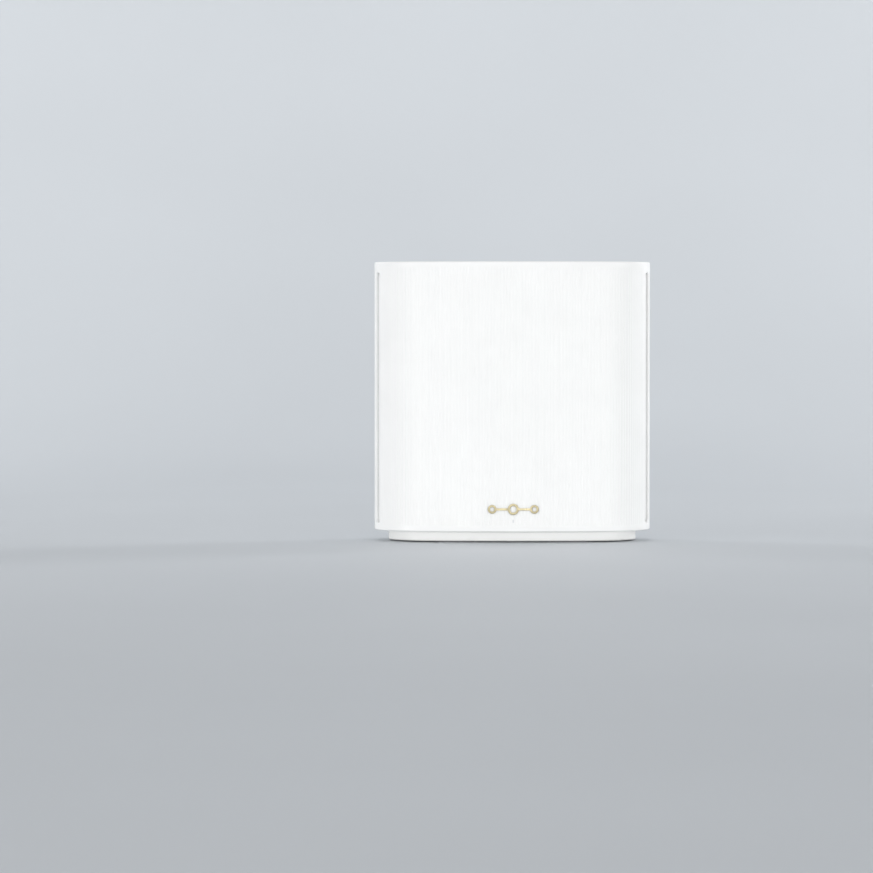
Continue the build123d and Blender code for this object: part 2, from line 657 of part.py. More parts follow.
with BuildPart() as rocker_bezel:
    with BuildSketch(across(BOARD_REAR)):
        with Locations((ROCKER_X, PORT_Z)):
            Rectangle(*ROCKER_BODY)
    extrude(amount=BOARD_REAR - BAY_FLOOR_Y)
    with BuildSketch(across(BAY_FLOOR_Y)):
        with Locations((ROCKER_X, PORT_Z)):
            RectangleRounded(*BEZEL, BEZEL_CORNER)
    extrude(amount=-BEZEL_PROUD)
    fillet(rocker_bezel.faces().sort_by(Axis.Y)[-1].edges(), BEZEL_FILLET)
    with BuildSketch(across(BEZEL_FACE_Y - BEZEL_DEPTH)):
        with Locations((ROCKER_X, PORT_Z)):
            Rectangle(*BEZEL_CAVITY)
    extrude(amount=-BEZEL_DEPTH, mode=Mode.SUBTRACT)
    with BuildSketch(Plane.YZ.offset(ROCKER_X)):
        with Locations((ROCKER_PIVOT_Y, PORT_Z)):
            Circle(STUB_RADIUS + STUB_PLAY)
    extrude(amount=BEZEL[0], both=True, mode=Mode.SUBTRACT)
keep(rocker_bezel, "rocker_bezel")

with BuildPart() as rocker_paddle:
    with BuildSketch(rocker_plane.offset(-PADDLE_WIDTH / 2)):
        Polygon(
            (PADDLE_PROUD, PADDLE_HALF),
            (PADDLE_PROUD - PADDLE_DIP, 0),
            (PADDLE_PROUD, -PADDLE_HALF),
            (-PADDLE_EDGE, -PADDLE_HALF),
            (-PADDLE_KEEL[0], -PADDLE_KEEL[1]),
            (-PADDLE_KEEL[0], PADDLE_KEEL[1]),
            (-PADDLE_EDGE, PADDLE_HALF),
            align=None,
        )
    extrude(amount=PADDLE_WIDTH)
    # the two ends and the two long sides of its face are rounded off
    fillet(rocker_paddle.edges().group_by(Axis.Y)[-1], PADDLE_FILLET)
    with BuildSketch(rocker_plane):
        Circle(STUB_RADIUS)
    extrude(amount=STUB_END, both=True)
keep(rocker_paddle, "rocker_paddle")

# ---- Press buttons and their switches on the board's lower edge --------------------------------------------

SWITCH_LOW = 10.5
SWITCH_HEIGHT = 4.4
SWITCH_WIDTH = 7.0
SWITCH_ROOF = 1.0
PLUNGER_PLAY = 0.15
PLUNGER_RADIUS = 1.2
WPS_CAP_LOW = 0.9
WPS_CAP_FILLET = 0.4
WPS_COLLAR_LOW = FLOOR_TOP + 0.1
WPS_COLLAR = 1.0
WPS_POST = 2.0
WPS_POST_TOP = 7.6
RESET_PLUNGER_LOW = 7.4
PLUNGER_TOP = 12.5


def press_switch(x, plunger_low):
    """A right-angle push switch on the board's front face, and the plunger that slides in it."""
    with BuildPart() as body:
        with BuildSketch(Plane.XY.offset(SWITCH_LOW)):
            with Locations((x, SWITCH_Y)):
                Rectangle(SWITCH_WIDTH, 2 * (BOARD_FRONT - SWITCH_Y))
        extrude(amount=SWITCH_HEIGHT)
        with BuildSketch(Plane.XY.offset(SWITCH_LOW)):
            with Locations((x, SWITCH_Y)):
                Circle(PLUNGER_RADIUS + PLUNGER_PLAY)
        extrude(amount=SWITCH_HEIGHT - SWITCH_ROOF, mode=Mode.SUBTRACT)
    with BuildPart() as plunger:
        with BuildSketch(Plane.XY.offset(plunger_low)):
            with Locations((x, SWITCH_Y)):
                Circle(PLUNGER_RADIUS)
        extrude(amount=PLUNGER_TOP - plunger_low)
    return body, plunger


wps_switch, wps_plunger = press_switch(WPS_X, WPS_POST_TOP)
keep(wps_switch, "wps_switch")
keep(wps_plunger, "wps_plunger")
reset_switch, reset_plunger = press_switch(RESET_X, RESET_PLUNGER_LOW)
keep(reset_switch, "reset_switch")
keep(reset_plunger, "reset_plunger")

with BuildPart() as wps_button:
    with BuildSketch(Plane.XY.offset(WPS_CAP_LOW)):
        with Locations((WPS_X, SWITCH_Y)):
            Circle(WPS_RADIUS)
    extrude(amount=WPS_COLLAR_LOW - WPS_CAP_LOW)
    fillet(wps_button.faces().sort_by(Axis.Z)[0].edges(), WPS_CAP_FILLET)
    with BuildSketch(Plane.XY.offset(WPS_COLLAR_LOW)):
        with Locations((WPS_X, SWITCH_Y)):
            Circle(WPS_GUIDE - BUTTON_GAP)
    extrude(amount=WPS_COLLAR)
    with BuildSketch(Plane.XY.offset(WPS_COLLAR_LOW)):
        with Locations((WPS_X, SWITCH_Y)):
            Circle(WPS_POST)
    extrude(amount=WPS_POST_TOP - WPS_COLLAR_LOW)
keep(wps_button, "wps_button")

# ---- Main board and what is soldered to it ------------------------------------------------------------

BOARD_SCREWS = [(-56, 42), (56, 42), (-56, 134), (56, 134)]
SINK_SCREWS = [(-42, 50), (42, 50), (-42, 130), (42, 130)]
BOARD_CORNER = 2.0
BOARD_HOLE = 1.5
PROCESSOR_Z = 84.0

with BuildPart() as main_board:
    with BuildSketch(across(BOARD_REAR)):
        with Locations((0, BOARD_MIDDLE)):
            RectangleRounded(BOARD_WIDTH, BOARD_HIGH - BOARD_LOW, BOARD_CORNER)
        with Locations(*BOARD_SCREWS, *SINK_SCREWS):
            Circle(BOARD_HOLE, mode=Mode.SUBTRACT)
    extrude(amount=BOARD_THICKNESS)
keep(main_board, "main_board")

CHIP = 1.2
# each as the X and Z of its middle, its width and its height
CHIPS = {
    "processor_chip": [(-6, PROCESSOR_Z, 21, 21)],
    "memory_chip": [(14, PROCESSOR_Z, 10, 14)],
    "switch_chip": [(0, 21, 12, 12)],
    "radio_chips": [(-22, 119, 12, 12), (22, 119, 12, 12), (0, 42, 12, 12)],
}
for name, places in CHIPS.items():
    with BuildPart() as chip:
        with BuildSketch(across(BOARD_FRONT)):
            for x, z, width, height in places:
                with Locations((x, z)):
                    Rectangle(width, height)
        extrude(amount=CHIP)
    keep(chip, name)

SHIELD_HEIGHT = 3.0
SHIELD_SKIN = 0.3
# the radios' shields are named after their bands
SHIELDS = {
    "shield_processor": (0, PROCESSOR_Z, 48, 40),
    "shield_radio_low": (-22, 119, 28, 26),
    "shield_radio_mid": (22, 119, 28, 26),
    "shield_radio_high": (0, 42, 36, 26),
}
for name, (x, z, width, height) in SHIELDS.items():
    with BuildPart() as shield:
        with BuildSketch(across(BOARD_FRONT)):
            with Locations((x, z)):
                Rectangle(width, height)
        extrude(amount=SHIELD_HEIGHT)
        with BuildSketch(across(BOARD_FRONT)):
            with Locations((x, z)):
                Rectangle(width - 2 * SHIELD_SKIN, height - 2 * SHIELD_SKIN)
        extrude(amount=SHIELD_HEIGHT - SHIELD_SKIN, mode=Mode.SUBTRACT)
    keep(shield, name)

# ---- Heatsinks, front and rear, with thermal pads under them ------------------------------------------

PAD = 0.5
PAD_MARGIN = 3.0
SINK_WIDTH = 100.0
SINK_PLATE = 3.0
SINK_HIGH = 136.0
FRONT_SINK_LOW = 26.0
FRONT_FIN_TIP = -22.0
REAR_SINK_LOW = 44.0
REAR_PAD = 2.4
REAR_PAD_SIZE = (60.0, 50.0)
REAR_FIN_TIP = 25.0
FIN = 1.2
FIN_PITCH = 6.0
FINS = 16
SINK_HOLE = 1.5
SINK_THREAD = 1.3
SINK_FACE = BOARD_FRONT - SHIELD_HEIGHT - PAD

with BuildPart() as thermal_pads:
    with BuildSketch(across(BOARD_FRONT - SHIELD_HEIGHT)):
        for x, z, width, height in SHIELDS.values():
            with Locations((x, z)):
                Rectangle(width - PAD_MARGIN, height - PAD_MARGIN)
    extrude(amount=PAD)
    with BuildSketch(across(BOARD_REAR)):
        with Locations((0, PROCESSOR_Z)):
            Rectangle(*REAR_PAD_SIZE)
    extrude(amount=-REAR_PAD)
keep(thermal_pads, "thermal_pads")

for name, low, face, tip, hole in (
    ("front_heatsink", FRONT_SINK_LOW, SINK_FACE, FRONT_FIN_TIP, SINK_HOLE),
    ("rear_heatsink", REAR_SINK_LOW, BOARD_REAR + REAR_PAD, REAR_FIN_TIP, SINK_THREAD),
):
    outward = 1 if name == "front_heatsink" else -1
    middle = (low + SINK_HIGH) / 2
    with BuildPart() as heatsink:
        with BuildSketch(across(face)):
            with Locations((0, middle)):
                Rectangle(SINK_WIDTH, SINK_HIGH - low)
        extrude(amount=outward * SINK_PLATE)
        with BuildSketch(across(face)):
            with Locations((0, middle)):
                with GridLocations(FIN_PITCH, 0, FINS, 1):
                    Rectangle(FIN, SINK_HIGH - low)
        extrude(amount=outward * abs(tip - face))
        with BuildSketch(across(face)):
            with Locations(*SINK_SCREWS):
                Circle(hole)
        extrude(amount=outward * SINK_PLATE, mode=Mode.SUBTRACT)
    keep(heatsink, name)

sink_screws = pan_screws(
    across(SINK_FACE - SINK_PLATE),
    SINK_SCREWS,
    length=BOARD_REAR + REAR_PAD + SINK_PLATE - (SINK_FACE - SINK_PLATE),
    shank=1.25,
    head_radius=2.2,
    head=1.6,
    cross=(2.4, 0.6),
)
keep(sink_screws, "heatsink_screws")

# ---- Inner frame: carries the board and the antennas --------------------------------------------------

FRAME_HALF = 71.0
FRAME_INNER = 60.0
FRAME_HIGH = 148.0
FRAME_BAR = 7.0
FRAME_FRONT = 0.0
FRAME_REAR = 6.0
TAB = 8.0
FRAME_SLOT = (26.0, 5.0)
FRAME_THREAD = 1.4
LOW_Z, HIGH_Z = 62.0, 108.0  # middles of the side antennas, and of the slots beside them

with BuildPart() as inner_frame:
    with BuildSketch(across(FRAME_REAR)):
        with Locations((0, (FLANGE_HIGH + FRAME_HIGH) / 2)):
            Rectangle(2 * FRAME_HALF, FRAME_HIGH - FLANGE_HIGH)
        with Locations((0, (FRAME_HIGH - FRAME_BAR) / 2)):
            Rectangle(2 * FRAME_INNER, FRAME_HIGH - FRAME_BAR, mode=Mode.SUBTRACT)
        for side in (-1, 1):
            for z in (LOW_Z, HIGH_Z):
                with Locations((side * (FRAME_INNER + FRAME_HALF) / 2, z)):
                    SlotOverall(*FRAME_SLOT, rotation=90, mode=Mode.SUBTRACT)
    extrude(amount=FRAME_REAR - FRAME_FRONT)
    with BuildSketch(across(FRAME_REAR)):
        for x, z in BOARD_SCREWS:
            side = 1 if x > 0 else -1
            with Locations((x + side * FIT, z)):
                Rectangle(2 * (FRAME_INNER - abs(x)), TAB)
        with Locations(*BOARD_SCREWS):
            Circle(FRAME_THREAD, mode=Mode.SUBTRACT)
    extrude(amount=FRAME_REAR - BOARD_REAR)
keep(inner_frame, "inner_frame")

board_screws = pan_screws(
    across(BOARD_FRONT),
    BOARD_SCREWS,
    length=FRAME_REAR - BOARD_FRONT,
    shank=1.35,
    head_radius=2.5,
    head=1.8,
    cross=(2.4, 0.6),
)
keep(board_screws, "board_screws")

# ---- Six antennas on the frame, and the coaxial lead from each to the board ---------------------------

ANTENNA = 0.8
ANTENNA_LENGTH = 34.0
SIDE_ANTENNA_DEPTH = 10.0
TOP_ANTENNA_HEIGHT = 8.5
TOP_ANTENNA_X = 34.0
TOP_FEED_X = 14.0
LEAD_RADIUS = 0.57
BEND_SHARE = 0.45  # of the shorter of the two runs beside a bend
PLUG_RADIUS = 1.5
PLUG_HEIGHT = 1.4
PLUG_X = 55.0
LEAD_Y = -10.0
LEAD_DROP = 8.0
TOP_LEAD_DROP = 26.0
PLUG_FACE_Y = BOARD_FRONT - PLUG_HEIGHT

SIDE_ANTENNAS = {"antenna_side_low": LOW_Z, "antenna_side_high": HIGH_Z}
for side, word in ((-1, "left"), (1, "right")):
    for stem, z in SIDE_ANTENNAS.items():
        with BuildPart() as antenna:
            with BuildSketch(Plane.YZ.offset(side * FRAME_HALF)):
                with Locations(((FRAME_FRONT + FRAME_REAR) / 2, z)):
                    Rectangle(SIDE_ANTENNA_DEPTH, ANTENNA_LENGTH)
            extrude(amount=side * ANTENNA)
        keep(antenna, f"{stem}_{word}")
    with BuildPart() as antenna:
        with BuildSketch(across((FRAME_FRONT + FRAME_REAR + ANTENNA) / 2)):
            with Locations((side * TOP_ANTENNA_X, FRAME_HIGH + TOP_ANTENNA_HEIGHT / 2)):
                Rectangle(ANTENNA_LENGTH, TOP_ANTENNA_HEIGHT)
        extrude(amount=ANTENNA)
    keep(antenna, f"antenna_top_{word}")

SIDE_FEED_Y = (FRAME_FRONT + FRAME_REAR - SIDE_ANTENNA_DEPTH) / 2
TOP_FEED_Y = (FRAME_FRONT + FRAME_REAR - ANTENNA) / 2


def lead_route(start, side, drop):
    """Corner points of one lead: forward from its antenna, inwards and down, and back to its plug."""
    x, y, z = start
    return [
        Vector(x, y, z),
        Vector(x, LEAD_Y, z),
        Vector(side * PLUG_X, LEAD_Y, z - drop),
        Vector(side * PLUG_X, PLUG_FACE_Y, z - drop),
    ]


def bend_radii(corners):
    """The largest tangent arc that the two runs beside each corner leave room for."""
    radii = []
    for before, corner, after in zip(corners, corners[1:], corners[2:]):
        first, second = corner - before, after - corner
        turn = radians(first.get_angle(second))
        radii.append(BEND_SHARE * min(first.length, second.length) / tan(turn / 2))
    return radii


routes = []
for side in (-1, 1):
    for z in SIDE_ANTENNAS.values():
        routes.append(lead_route((side * (FRAME_HALF + ANTENNA / 2), SIDE_FEED_Y, z), side, LEAD_DROP))
    top_feed = (side * (TOP_ANTENNA_X + TOP_FEED_X), TOP_FEED_Y, FRAME_HIGH + TOP_ANTENNA_HEIGHT / 2)
    routes.append(lead_route(top_feed, side, TOP_LEAD_DROP))

with BuildPart() as antenna_leads:
    for corners in routes:
        radii = bend_radii(corners)
        print("lead bend radii", [round(radius, 2) for radius in radii])
        with BuildLine() as route:
            FilletPolyline(*corners, radius=radii)
        with BuildSketch(Plane(origin=corners[0], z_dir=(0, -1, 0))):
            Circle(LEAD_RADIUS)
        sweep(path=route.line)
        print("lead length", round(route.wires()[0].length, 1))
        with BuildSketch(across(BOARD_FRONT)):
            with Locations((corners[-1].X, corners[-1].Z)):
                Circle(PLUG_RADIUS)
        extrude(amount=PLUG_HEIGHT)
keep(antenna_leads, "antenna_leads")
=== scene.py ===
import json
from math import acos, asin, atan2, ceil, cos, hypot, pi, radians, sin, sqrt

import bmesh
import bpy
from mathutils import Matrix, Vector


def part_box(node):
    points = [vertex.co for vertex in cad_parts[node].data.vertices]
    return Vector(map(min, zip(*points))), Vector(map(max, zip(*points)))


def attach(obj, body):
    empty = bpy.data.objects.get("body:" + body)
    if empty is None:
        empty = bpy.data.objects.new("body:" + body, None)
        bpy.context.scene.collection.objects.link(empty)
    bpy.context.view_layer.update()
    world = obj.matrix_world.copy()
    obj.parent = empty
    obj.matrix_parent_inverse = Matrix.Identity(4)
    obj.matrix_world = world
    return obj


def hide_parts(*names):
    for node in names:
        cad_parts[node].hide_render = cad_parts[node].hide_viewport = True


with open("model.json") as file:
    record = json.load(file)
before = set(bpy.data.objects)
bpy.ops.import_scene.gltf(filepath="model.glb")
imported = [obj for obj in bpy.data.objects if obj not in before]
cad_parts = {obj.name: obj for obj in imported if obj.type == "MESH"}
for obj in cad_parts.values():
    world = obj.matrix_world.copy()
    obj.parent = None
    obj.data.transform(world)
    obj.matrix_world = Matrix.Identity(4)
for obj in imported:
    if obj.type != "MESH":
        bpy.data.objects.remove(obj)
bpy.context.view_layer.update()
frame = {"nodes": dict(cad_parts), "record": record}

# A mesh wifi node in metres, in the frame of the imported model: +Z up, the ribbed front faces -Y. The two
# curved shells and the small printed signs are made here. Every other piece keeps the mesh of the packed
# model, and gets softened edges and a material.

MM = 0.001

# ---- Driving dimensions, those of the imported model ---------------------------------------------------

HALF_WIDTH = round(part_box("rear_shell")[1].x, 3)
HALF_DEPTH = round(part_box("rear_shell")[1].y, 4)
SHELL_LOW = round(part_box("rear_shell")[0].z, 4)
SHELL_HIGH = round(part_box("rear_shell")[1].z, 4)
END_RADIUS = 34 * MM
WALL = 2.6 * MM
SEAM_Y = -11.75 * MM
CHANNEL_HALF = 3.15 * MM
CHANNEL_DEPTH = 1.4 * MM
CHANNEL_LOW = 10.6 * MM
CHANNEL_HIGH = 155.4 * MM
LIP_REACH = 5.2 * MM
LIP_CLEARANCE = 0.1 * MM
RIB_PITCH = 1.8 * MM
RIBS_PER_SIDE = 45
RIB_DEPTH = 0.16 * MM
RIB_MARGIN = 2.6 * MM  # plain band above and below the ribbing

END_X = HALF_WIDTH - END_RADIUS
FACE_Y = (END_X**2 - (HALF_DEPTH - END_RADIUS) ** 2) / (2 * (HALF_DEPTH - END_RADIUS))
FACE_RADIUS = HALF_DEPTH + FACE_Y
TANGENT = atan2(FACE_Y, END_X)
FACE_ARC = FACE_RADIUS * (pi / 2 - TANGENT)
END_ARC = END_RADIUS * 2 * TANGENT
PERIMETER = 4 * FACE_ARC + 2 * END_ARC


# ---- The outline, measured by the distance run along it from the middle of the front -----------------


def on_outline(run):
    """The point at that run on the plan outline, and the outward direction there."""
    run = (run + PERIMETER / 2) % PERIMETER - PERIMETER / 2
    side = 1 if run >= 0 else -1
    run = abs(run)
    if run <= FACE_ARC:
        centre, radius, angle = (0, FACE_Y), FACE_RADIUS, run / FACE_RADIUS - pi / 2
    elif run <= FACE_ARC + END_ARC:
        centre, radius, angle = (END_X, 0), END_RADIUS, (run - FACE_ARC) / END_RADIUS - TANGENT
    else:
        centre, radius = (0, -FACE_Y), FACE_RADIUS
        angle = TANGENT + (run - FACE_ARC - END_ARC) / FACE_RADIUS
    out = (cos(angle), sin(angle))
    return (side * (centre[0] + radius * out[0]), centre[1] + radius * out[1]), (side * out[0], out[1])


def on_shell(run, z, depth):
    """A point at that depth under the outer surface."""
    (x, y), (across, along) = on_outline(run)
    return (x - depth * across, y - depth * along, z)


def run_at_side(y):
    """The run at which the right end arc has that Y."""
    return FACE_ARC + END_RADIUS * (TANGENT + asin(y / END_RADIUS))


def run_at_back(x):
    """The run at which the back of the outline has that X."""
    run = run_at_back_right(abs(x))
    return run if x >= 0 else PERIMETER - run


def run_at_back_right(x):
    """The same for an X to the right of the middle, which lies on the end arc or on the back one."""
    if x > END_X + END_RADIUS * cos(TANGENT):
        return FACE_ARC + END_RADIUS * (TANGENT + acos((x - END_X) / END_RADIUS))
    return FACE_ARC + END_ARC + FACE_RADIUS * (acos(x / FACE_RADIUS) - TANGENT)


# ---- Mesh helpers ------------------------------------------------------------------------------------


def spaced(start, end, step):
    """Evenly spaced values from start to end, both included, no further apart than step."""
    count = max(1, ceil((end - start) / step - 1e-9))
    return [start + (end - start) * i / count for i in range(count + 1)]


def merged(*groups, gap=1e-6):
    """The values of all groups in order, without those that repeat."""
    values = []
    for value in sorted(v for group in groups for v in group):
        if not values or value - values[-1] > gap:
            values.append(value)
    return values


SHARP_ANGLE = 35  # degrees that two faces turn before their edge shows as a sharp one


def finish_mesh(name, bm):
    """Makes an object of the bmesh, with smooth shading except across sharp edges."""
    bmesh.ops.recalc_face_normals(bm, faces=bm.faces)
    mesh = bpy.data.meshes.new(name)
    bm.to_mesh(mesh)
    bm.free()
    mesh.shade_smooth()
    mesh.set_sharp_from_angle(angle=radians(SHARP_ANGLE))
    piece = bpy.data.objects.new(name, mesh)
    bpy.context.scene.collection.objects.link(piece)
    return piece


def cell_corners(i, j):
    """The four grid places round a cell, anticlockwise."""
    return [(i, j), (i + 1, j), (i + 1, j + 1), (i, j + 1)]


def border_loops(cells):
    """The closed borders of a set of grid cells, as lists of grid places with the cells on their left."""
    sides = {}  # a dict, because it keeps the order that a set would lose
    for cell in cells:
        corners = cell_corners(*cell)
        sides.update(dict.fromkeys(zip(corners, corners[1:] + corners[:1])))
    follow = {a: b for a, b in sides if (b, a) not in sides}
    loops = []
    while follow:
        start = place = next(iter(follow))
        loop = []
        while place in follow:
            loop.append(place)
            place = follow.pop(place)
        loops.append(loop)
    return loops


def softened(values, passes):
    """A closed list of numbers, with each averaged with its neighbours that many times."""
    for _ in range(passes):
        after = values[1:] + values[:1]
        values = [(values[i - 1] + 2 * value + after[i]) / 4 for i, value in enumerate(values)]
    return values


ROUND_STEPS = 4  # faces across a rounded border
ROUND_PASSES = 3  # how often the rounding is evened out along a border
SHARPEST = 0.5  # limits how far an offset line stands out at a sharp corner


def shell_patch(bm, cells, spot, radius, top=lambda run, z: 0, bottom=lambda run: WALL):
    """Adds a closed piece of wall. spot gives a grid place's run and height, radius the rounding of the
    piece's border there, and top and bottom the depths of its outer and inner faces."""
    places = {corner for cell in cells for corner in cell_corners(*cell)}
    flat = {place: Vector(spot(*place)) for place in places}
    rings = []
    lowered = {}
    # the outer faces end short of the border by its rounding
    for loop in border_loops(cells):
        points = [flat[place] for place in loop]
        outs = []
        for before, point, after in zip(points[-1:] + points[:-1], points, points[1:] + points[:1]):
            first, second = (point - before).normalized(), (after - point).normalized()
            out = Vector((first.y + second.y, -first.x - second.x))
            outs.append(out / max(SHARPEST, 1 + first.dot(second)))
        radii = softened([radius(*point) for point in points], ROUND_PASSES)
        rings.append((loop, points, outs, radii))
        for place, point, out, r in zip(loop, points, outs, radii):
            lowered[place] = point - r * out
    # outer and inner faces, cell by cell
    outer = {}
    inner = {}
    for place, point in flat.items():
        run, z = lowered.get(place, point)
        outer[place] = bm.verts.new(on_shell(run, z, top(run, z)))
        inner[place] = bm.verts.new(on_shell(point.x, point.y, bottom(point.x)))
    for cell in cells:
        corners = cell_corners(*cell)
        bm.faces.new([outer[corner] for corner in corners])
        bm.faces.new([inner[corner] for corner in reversed(corners)])
    # rings of faces that round each border and then close it
    for loop, points, outs, radii in rings:
        lines = [[outer[place] for place in loop]]
        for step in range(1, ROUND_STEPS + 1):
            turn = pi / 2 * step / ROUND_STEPS
            line = []
            for point, out, r in zip(points, outs, radii):
                edge = point - r * (1 - sin(turn)) * out
                line.append(bm.verts.new(on_shell(edge.x, edge.y, top(*edge) + r * (1 - cos(turn)))))
            lines.append(line)
        lines.append([inner[place] for place in loop])
        for upper, lower in zip(lines, lines[1:]):
            for k in range(len(loop)):
                after = (k + 1) % len(loop)
                bm.faces.new([upper[after], upper[k], lower[k], lower[after]])


# ---- Front fascia ------------------------------------------------------------------------------------

EDGE_ROUND = 0.8 * MM
CHANNEL_ROUND = 0.55 * MM
SEAM_ROUND = 0.14 * MM
RIB_FADE = 1.6 * MM
VALLEY_POWER = 1.4  # narrows the valleys between the ribs
COLUMNS_PER_RIB = 10
SIDE_COLUMNS = 6  # of faces beside each channel
ROW_STEP = 9 * MM
RIM_STEP = 1.1 * MM  # between rows near the rims
FADE_STEP = 0.4 * MM  # between rows where the ribs fade out
LEAST_STEP = 0.05 * MM  # rows nearer to each other than this are one
CHANNEL_END_STEPS = 8
STEP_RUN = run_at_side(SEAM_Y - LIP_REACH)  # where the fascia's wall is stepped back for the lip
STEP_ROOM = 0.3 * MM  # by which the step starts sooner than the lip
RIB_LOW = SHELL_LOW + RIB_MARGIN
RIB_HIGH = SHELL_HIGH - RIB_MARGIN


def notch(z):
    """How far the channel reaches to each side of the seam at that height: a slot with round ends."""
    end = min(z - CHANNEL_LOW, CHANNEL_HIGH - z)
    if end <= 0:
        return 0
    if end >= CHANNEL_HALF:
        return CHANNEL_HALF
    return sqrt(CHANNEL_HALF**2 - (CHANNEL_HALF - end) ** 2)


def groove(run, z):
    """Depth of the ribbing: round valleys that fade out at both ends and at the last rib on each side."""
    past_side = RIBS_PER_SIDE * RIB_PITCH + RIB_PITCH / 2 - abs(run)
    inside = min(z - RIB_LOW, RIB_HIGH - z) / RIB_FADE
    if past_side <= 0 or inside <= 0:
        return 0
    inside = min(1, inside)
    fade = inside * inside * (3 - 2 * inside)
    wave = 0.5 + 0.5 * cos(2 * pi * run / RIB_PITCH)
    return RIB_DEPTH * fade * wave**VALLEY_POWER


def shell_radius(run, z):
    """Rounding of a shell's border: full on the rims, less by a channel, least where the shells meet."""
    if z < SHELL_LOW + EDGE_ROUND / 2 or z > SHELL_HIGH - EDGE_ROUND / 2:
        return EDGE_ROUND
    return CHANNEL_ROUND if CHANNEL_LOW < z < CHANNEL_HIGH else SEAM_ROUND


CHANNEL_END_ROWS = [
    CHANNEL_HALF * (1 - cos(pi / 2 * k / CHANNEL_END_STEPS)) for k in range(CHANNEL_END_STEPS + 1)
]
SHELL_ROWS = merged(
    spaced(SHELL_LOW, CHANNEL_LOW, RIM_STEP),
    [CHANNEL_LOW + row for row in CHANNEL_END_ROWS],
    [CHANNEL_HIGH - row for row in CHANNEL_END_ROWS],
    spaced(RIB_LOW, CHANNEL_LOW, FADE_STEP),
    spaced(CHANNEL_HIGH, RIB_HIGH, FADE_STEP),
    spaced(CHANNEL_LOW + CHANNEL_HALF, CHANNEL_HIGH - CHANNEL_HALF, ROW_STEP),
    spaced(CHANNEL_HIGH, SHELL_HIGH, RIM_STEP),
    gap=LEAST_STEP,
)


def make_fascia():
    """The ribbed front half: columns of faces along the ribs, and a few more to the edge of each channel."""
    last_rib = RIBS_PER_SIDE * RIB_PITCH + RIB_PITCH / 2
    middle = spaced(-last_rib, last_rib, RIB_PITCH / COLUMNS_PER_RIB)
    count = len(middle) + 2 * SIDE_COLUMNS

    def spot(i, j):
        z = SHELL_ROWS[j]
        inner = i - SIDE_COLUMNS
        if 0 <= inner < len(middle):
            return middle[inner], z
        edge = run_at_side(SEAM_Y - notch(z))
        beyond = -inner if inner < 0 else inner - len(middle) + 1
        run = last_rib + (edge - last_rib) * beyond / SIDE_COLUMNS
        return (-run if inner < 0 else run), z

    def bottom(run):
        return CHANNEL_DEPTH - LIP_CLEARANCE if abs(run) > STEP_RUN - STEP_ROOM else WALL

    cells = [(i, j) for i in range(count - 1) for j in range(len(SHELL_ROWS) - 1)]
    bm = bmesh.new()
    shell_patch(bm, cells, spot, shell_radius, groove, bottom)
    return finish_mesh("fascia", bm)


# ---- Rear shell --------------------------------------------------------------------------------------

BAY_HALF_WIDTH = 63 * MM
BAY_Z = 24 * MM
BAY_HALF_HEIGHT = 12.5 * MM
BAY_CORNER = 3 * MM
BAY_ROUND = 0.45 * MM
CORNER_STEPS = 5
BAY_STEP = 3 * MM  # along the window's straight edges
BAY_MARGIN = 1 * MM  # rows and borders this near to the window belong to it
BESIDE_BAY = 5 * MM  # how far the columns stay close on each side of the window
BESIDE_STEP = 2 * MM
COLUMN_STEP = 1.6 * MM
PAST_CHANNEL = 3 * MM  # where the even columns start
LIP_ROOT = 0.7 * MM  # how far the lip that closes each channel runs on inside the shell's wall
LIP_ROUND = 0.05 * MM
LIP_BACK = WALL - LIP_CLEARANCE


